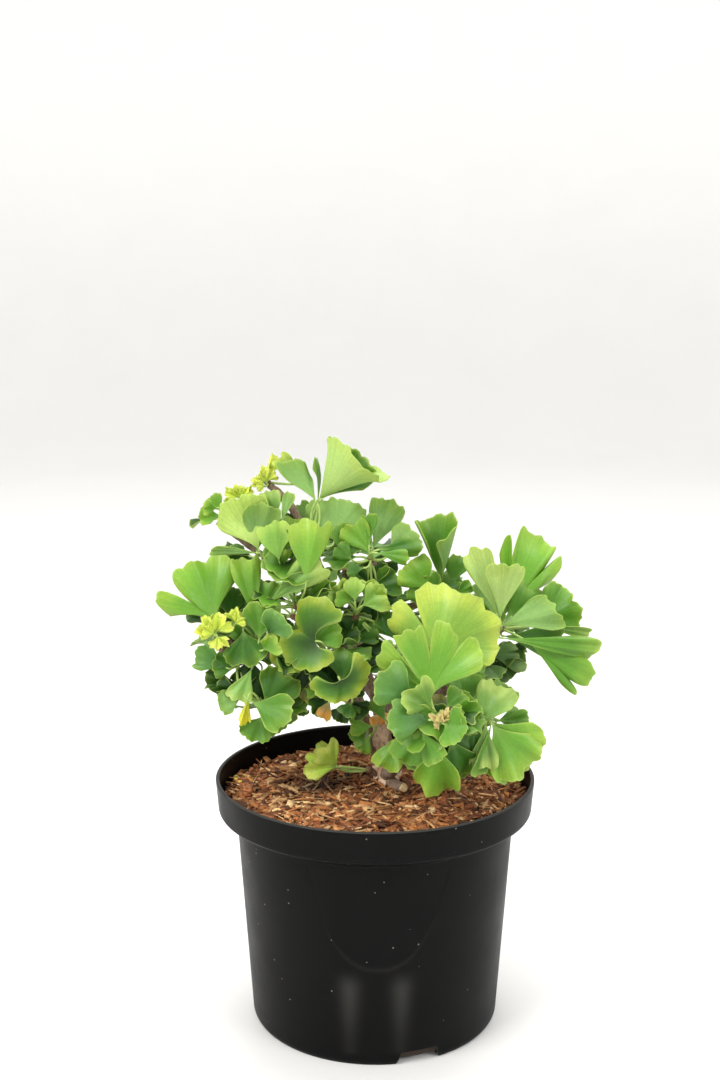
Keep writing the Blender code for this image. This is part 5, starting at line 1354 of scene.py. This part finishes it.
scale_skin, shader = new_finish("bud_scales", Roughness=0.75)
tree = scale_skin.node_tree
tone = add(tree, "Attribute", {"attribute_name": "tone"})
place = add(tree, "TexCoord").outputs["Object"]
mottle = noise(tree, place, 900.0, 4.0)
tree.links.new(
    blend(tree, band(tree, mottle, 0.4, 0.7), tone.outputs["Color"], (0.30, 0.19, 0.10, 1)),
    shader.inputs["Base Color"],
)
tree.links.new(raised(tree, mottle, 0.0004), shader.inputs["Normal"])

# The shade multiplies the bark's colour. The side stub's 0.3 and the branches' default are painted
# shade; the trunk keeps about its own colour.
STEM_KINDS = [
    (TRUNK_ROWS, TRUNK_SEEN, {"sides": 40, "step": 0.8, "knobs": 5.0, "shade": 1.05}),
    ([], SIDE_STUB, {"sides": 20, "step": 0.6, "knobs": 3.0, "shade": 0.3}),
]
STEM_KINDS += [([], rows, {"sides": 24, "step": 1.0, "knobs": 4.0}) for rows in BRANCHES.values()]
"""Each stem's rows in mm, its rows in the picture, and how it is made."""

SAWN_ENDS = (
    (TRUNK_SEEN, 5.3, 4.4, (1.25, 1.2, 0.9, 1)), (SIDE_STUB, 2.3, 0.6, (1.0, 1.5, 2.6, 1)),
)
"""Each sawn end's stem, its radius, how deep its callus is, and its tone."""

wood_parts = [
    stem(rows + [(*seen(row[:3])[0], row[3]) for row in shown], **kind)
    for rows, shown, kind in STEM_KINDS
]
for rows, cut_radius, callus, tone in SAWN_ENDS:
    points, faces = stub_end(seen([row[:3] for row in rows]), cut_radius, callus, 24)
    wood_parts.append(Part(points * MM, faces, np.tile(tone, (len(points), 1)), finish=1))

crowns = {}
for name, shoot in SHOOTS.items():
    path = seen(shoot.twig)
    crowns[name] = path[-1] + unit(path[-1] - path[-2]) * (TWIG_GAP + BUD_HEIGHT / 2)
rest_of = {name: [] for name in SHOOTS}
for leaf in REST:
    foot = seen(leaf.foot)[0]
    nearest = min(crowns, key=lambda name: np.linalg.norm(crowns[name] - foot))
    pose = pose_between(foot, seen(leaf.tip)[0], EYE - foot, math.radians(leaf.roll))
    rest_of[nearest].append((leaf, pose))

leaf_order = 0
for order, (name, shoot) in enumerate(SHOOTS.items()):
    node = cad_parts[name]
    corners = [vertex.co.copy() for vertex in node.data.vertices]
    solid = BVHTree.FromPolygons(corners, [tuple(face.vertices) for face in node.data.polygons])
    path = seen(shoot.twig)
    way = unit(path[-1] - path[-2])
    crown = crowns[name]
    radii = [TWIG_RADIUS * 1.25] + [TWIG_RADIUS] * (len(path) - 2) + [SPUR_RADIUS]
    # The twig gets the default shade, the same painted shade as the branches.
    wood_parts.append(stem([(*spot, size) for spot, size in zip(path, radii)], 16, 0.7, 2.6))
    grown = [(leaf, fitted_pose(leaf, shown_poses(leaf), solid)) for leaf in shoot.leaves]
    rng = random.Random(order)
    for index in range(shoot.hidden):
        leaf, poses = hidden_leaf(crown, index, shoot.hidden, rng)
        grown.append((leaf, fitted_pose(leaf, poses, solid)))
    turn = np.random.default_rng(order + 100)
    parts = [scales_part(crown, way, order)]
    for leaf, (gap, pose) in grown:
        leaf_order += 1
        if gap > LOST:
            continue
        parts += [blade_part(leaf, pose, leaf_order, turn), stalk_part(crown, pose)]
    if shoot.tone != "bud_yellow":
        rest_of[name] += inner_leaves(crown, order)
    for leaf, pose in rest_of[name]:
        leaf_order += 1
        parts += [blade_part(leaf, pose, leaf_order, turn, 31), stalk_part(crown, pose)]
    piece = make_piece("leaves_" + name, parts, [leaf_skin, stalk_skin, scale_skin])
    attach(piece, "root")
    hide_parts(name)

# The wood is made into its piece only here, since every shoot's twig is part of it.
wood = make_piece("trunk_and_twigs", wood_parts, [bark_skin, sawn_wood])
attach(wood, "root")
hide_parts("trunk_and_branches")

# The studio: a plain pale floor that carries on as the backdrop, broad soft lights, and the
# camera at the eye that the stems and leaves were placed from.

FLOOR_REACH = 2.2
BACKDROP_ROUND = 1.6
BACKDROP_TOP = 3.2
BACKDROP_SIDES = 96
BACKDROP_LIFT = 0.28


def studio_bowl():
    """A flat disc, then a quarter circle up, then a straight wall, turned about the axis. Its
    tone rises by BACKDROP_LIFT up the wall."""
    bend = np.linspace(0, np.pi / 2, 25)
    radius = np.concatenate([
        np.linspace(0.02, FLOOR_REACH, 12)[:-1], FLOOR_REACH + BACKDROP_ROUND * np.sin(bend),
        [FLOOR_REACH + BACKDROP_ROUND],
    ])
    height = np.concatenate([
        np.zeros(11), BACKDROP_ROUND * (1 - np.cos(bend)), [BACKDROP_TOP],
    ])
    turn = np.linspace(0, 2 * np.pi, BACKDROP_SIDES, endpoint=False)
    ring = np.stack([
        np.outer(radius, np.cos(turn)), np.outer(radius, np.sin(turn)),
        np.repeat(height[:, None], BACKDROP_SIDES, 1),
    ], axis=-1)
    points = np.vstack([ring.reshape(-1, 3), [[0, 0, 0]]])
    faces = [
        grid_faces(len(radius), BACKDROP_SIDES, True)[:, ::-1],
        fan_faces(np.arange(BACKDROP_SIDES), len(points) - 1, True),
    ]
    lift = 1 + BACKDROP_LIFT * eased(points[:, 2:], 0.0, 1.0)
    return Part(points, faces, np.repeat(lift, 4, axis=1))


floor_finish, shader = new_finish("pale_floor", Roughness=0.6)
tree = floor_finish.node_tree
place = add(tree, "TexCoord").outputs["Object"]
cloud = noise(tree, place, 6.0, 3.0)
pale = blend(tree, cloud, (0.70, 0.695, 0.68, 1), (0.73, 0.725, 0.71, 1))
tone = add(tree, "Attribute", {"attribute_name": "tone"}).outputs["Color"]
tree.links.new(blend(tree, 1.0, pale, tone, "MULTIPLY"), shader.inputs["Base Color"])
floor = make_piece("studio_floor", [studio_bowl()], [floor_finish])

world = bpy.data.worlds.new("studio_air")
bpy.context.scene.world = world
world.use_nodes = True
sky = world.node_tree.nodes["Background"]
sky.inputs["Color"].default_value = (1.0, 1.0, 1.0, 1)
sky.inputs["Strength"].default_value = 1.15

LIGHTS = [
    ("left_window", (-1.1, -0.9, 1.35), 0.9, 26.0, (1.0, 0.98, 0.95)),
    ("right_window", (1.2, -1.0, 1.0), 0.8, 12.0, (0.97, 0.98, 1.0)),
    ("top_panel", (0.1, 0.5, 1.7), 1.1, 20.0, (1.0, 1.0, 1.0)),
]
"""Each light's name, place and size in metres, power and colour."""

LIGHT_AIM = Vector((0, 0, 0.2))
for name, spot, size, power, colour in LIGHTS:
    lamp = bpy.data.lights.new(name, "AREA")
    lamp.shape = "SQUARE"
    lamp.size = size
    lamp.energy = power
    lamp.color = colour
    light = bpy.data.objects.new(name, lamp)
    light.location = spot
    light.rotation_euler = (LIGHT_AIM - Vector(spot)).to_track_quat("-Z", "Y").to_euler()
    bpy.context.scene.collection.objects.link(light)

LENS = 50.0
view = bpy.data.cameras.new("photograph_view")
view.lens = LENS
camera = bpy.data.objects.new("photograph_view", view)
camera.location = EYE * MM
camera.rotation_euler = (math.radians(90) - EYE_PITCH, 0, 0)
bpy.context.scene.collection.objects.link(camera)
bpy.context.scene.camera = camera
bpy.context.scene.view_settings.view_transform = "Standard"
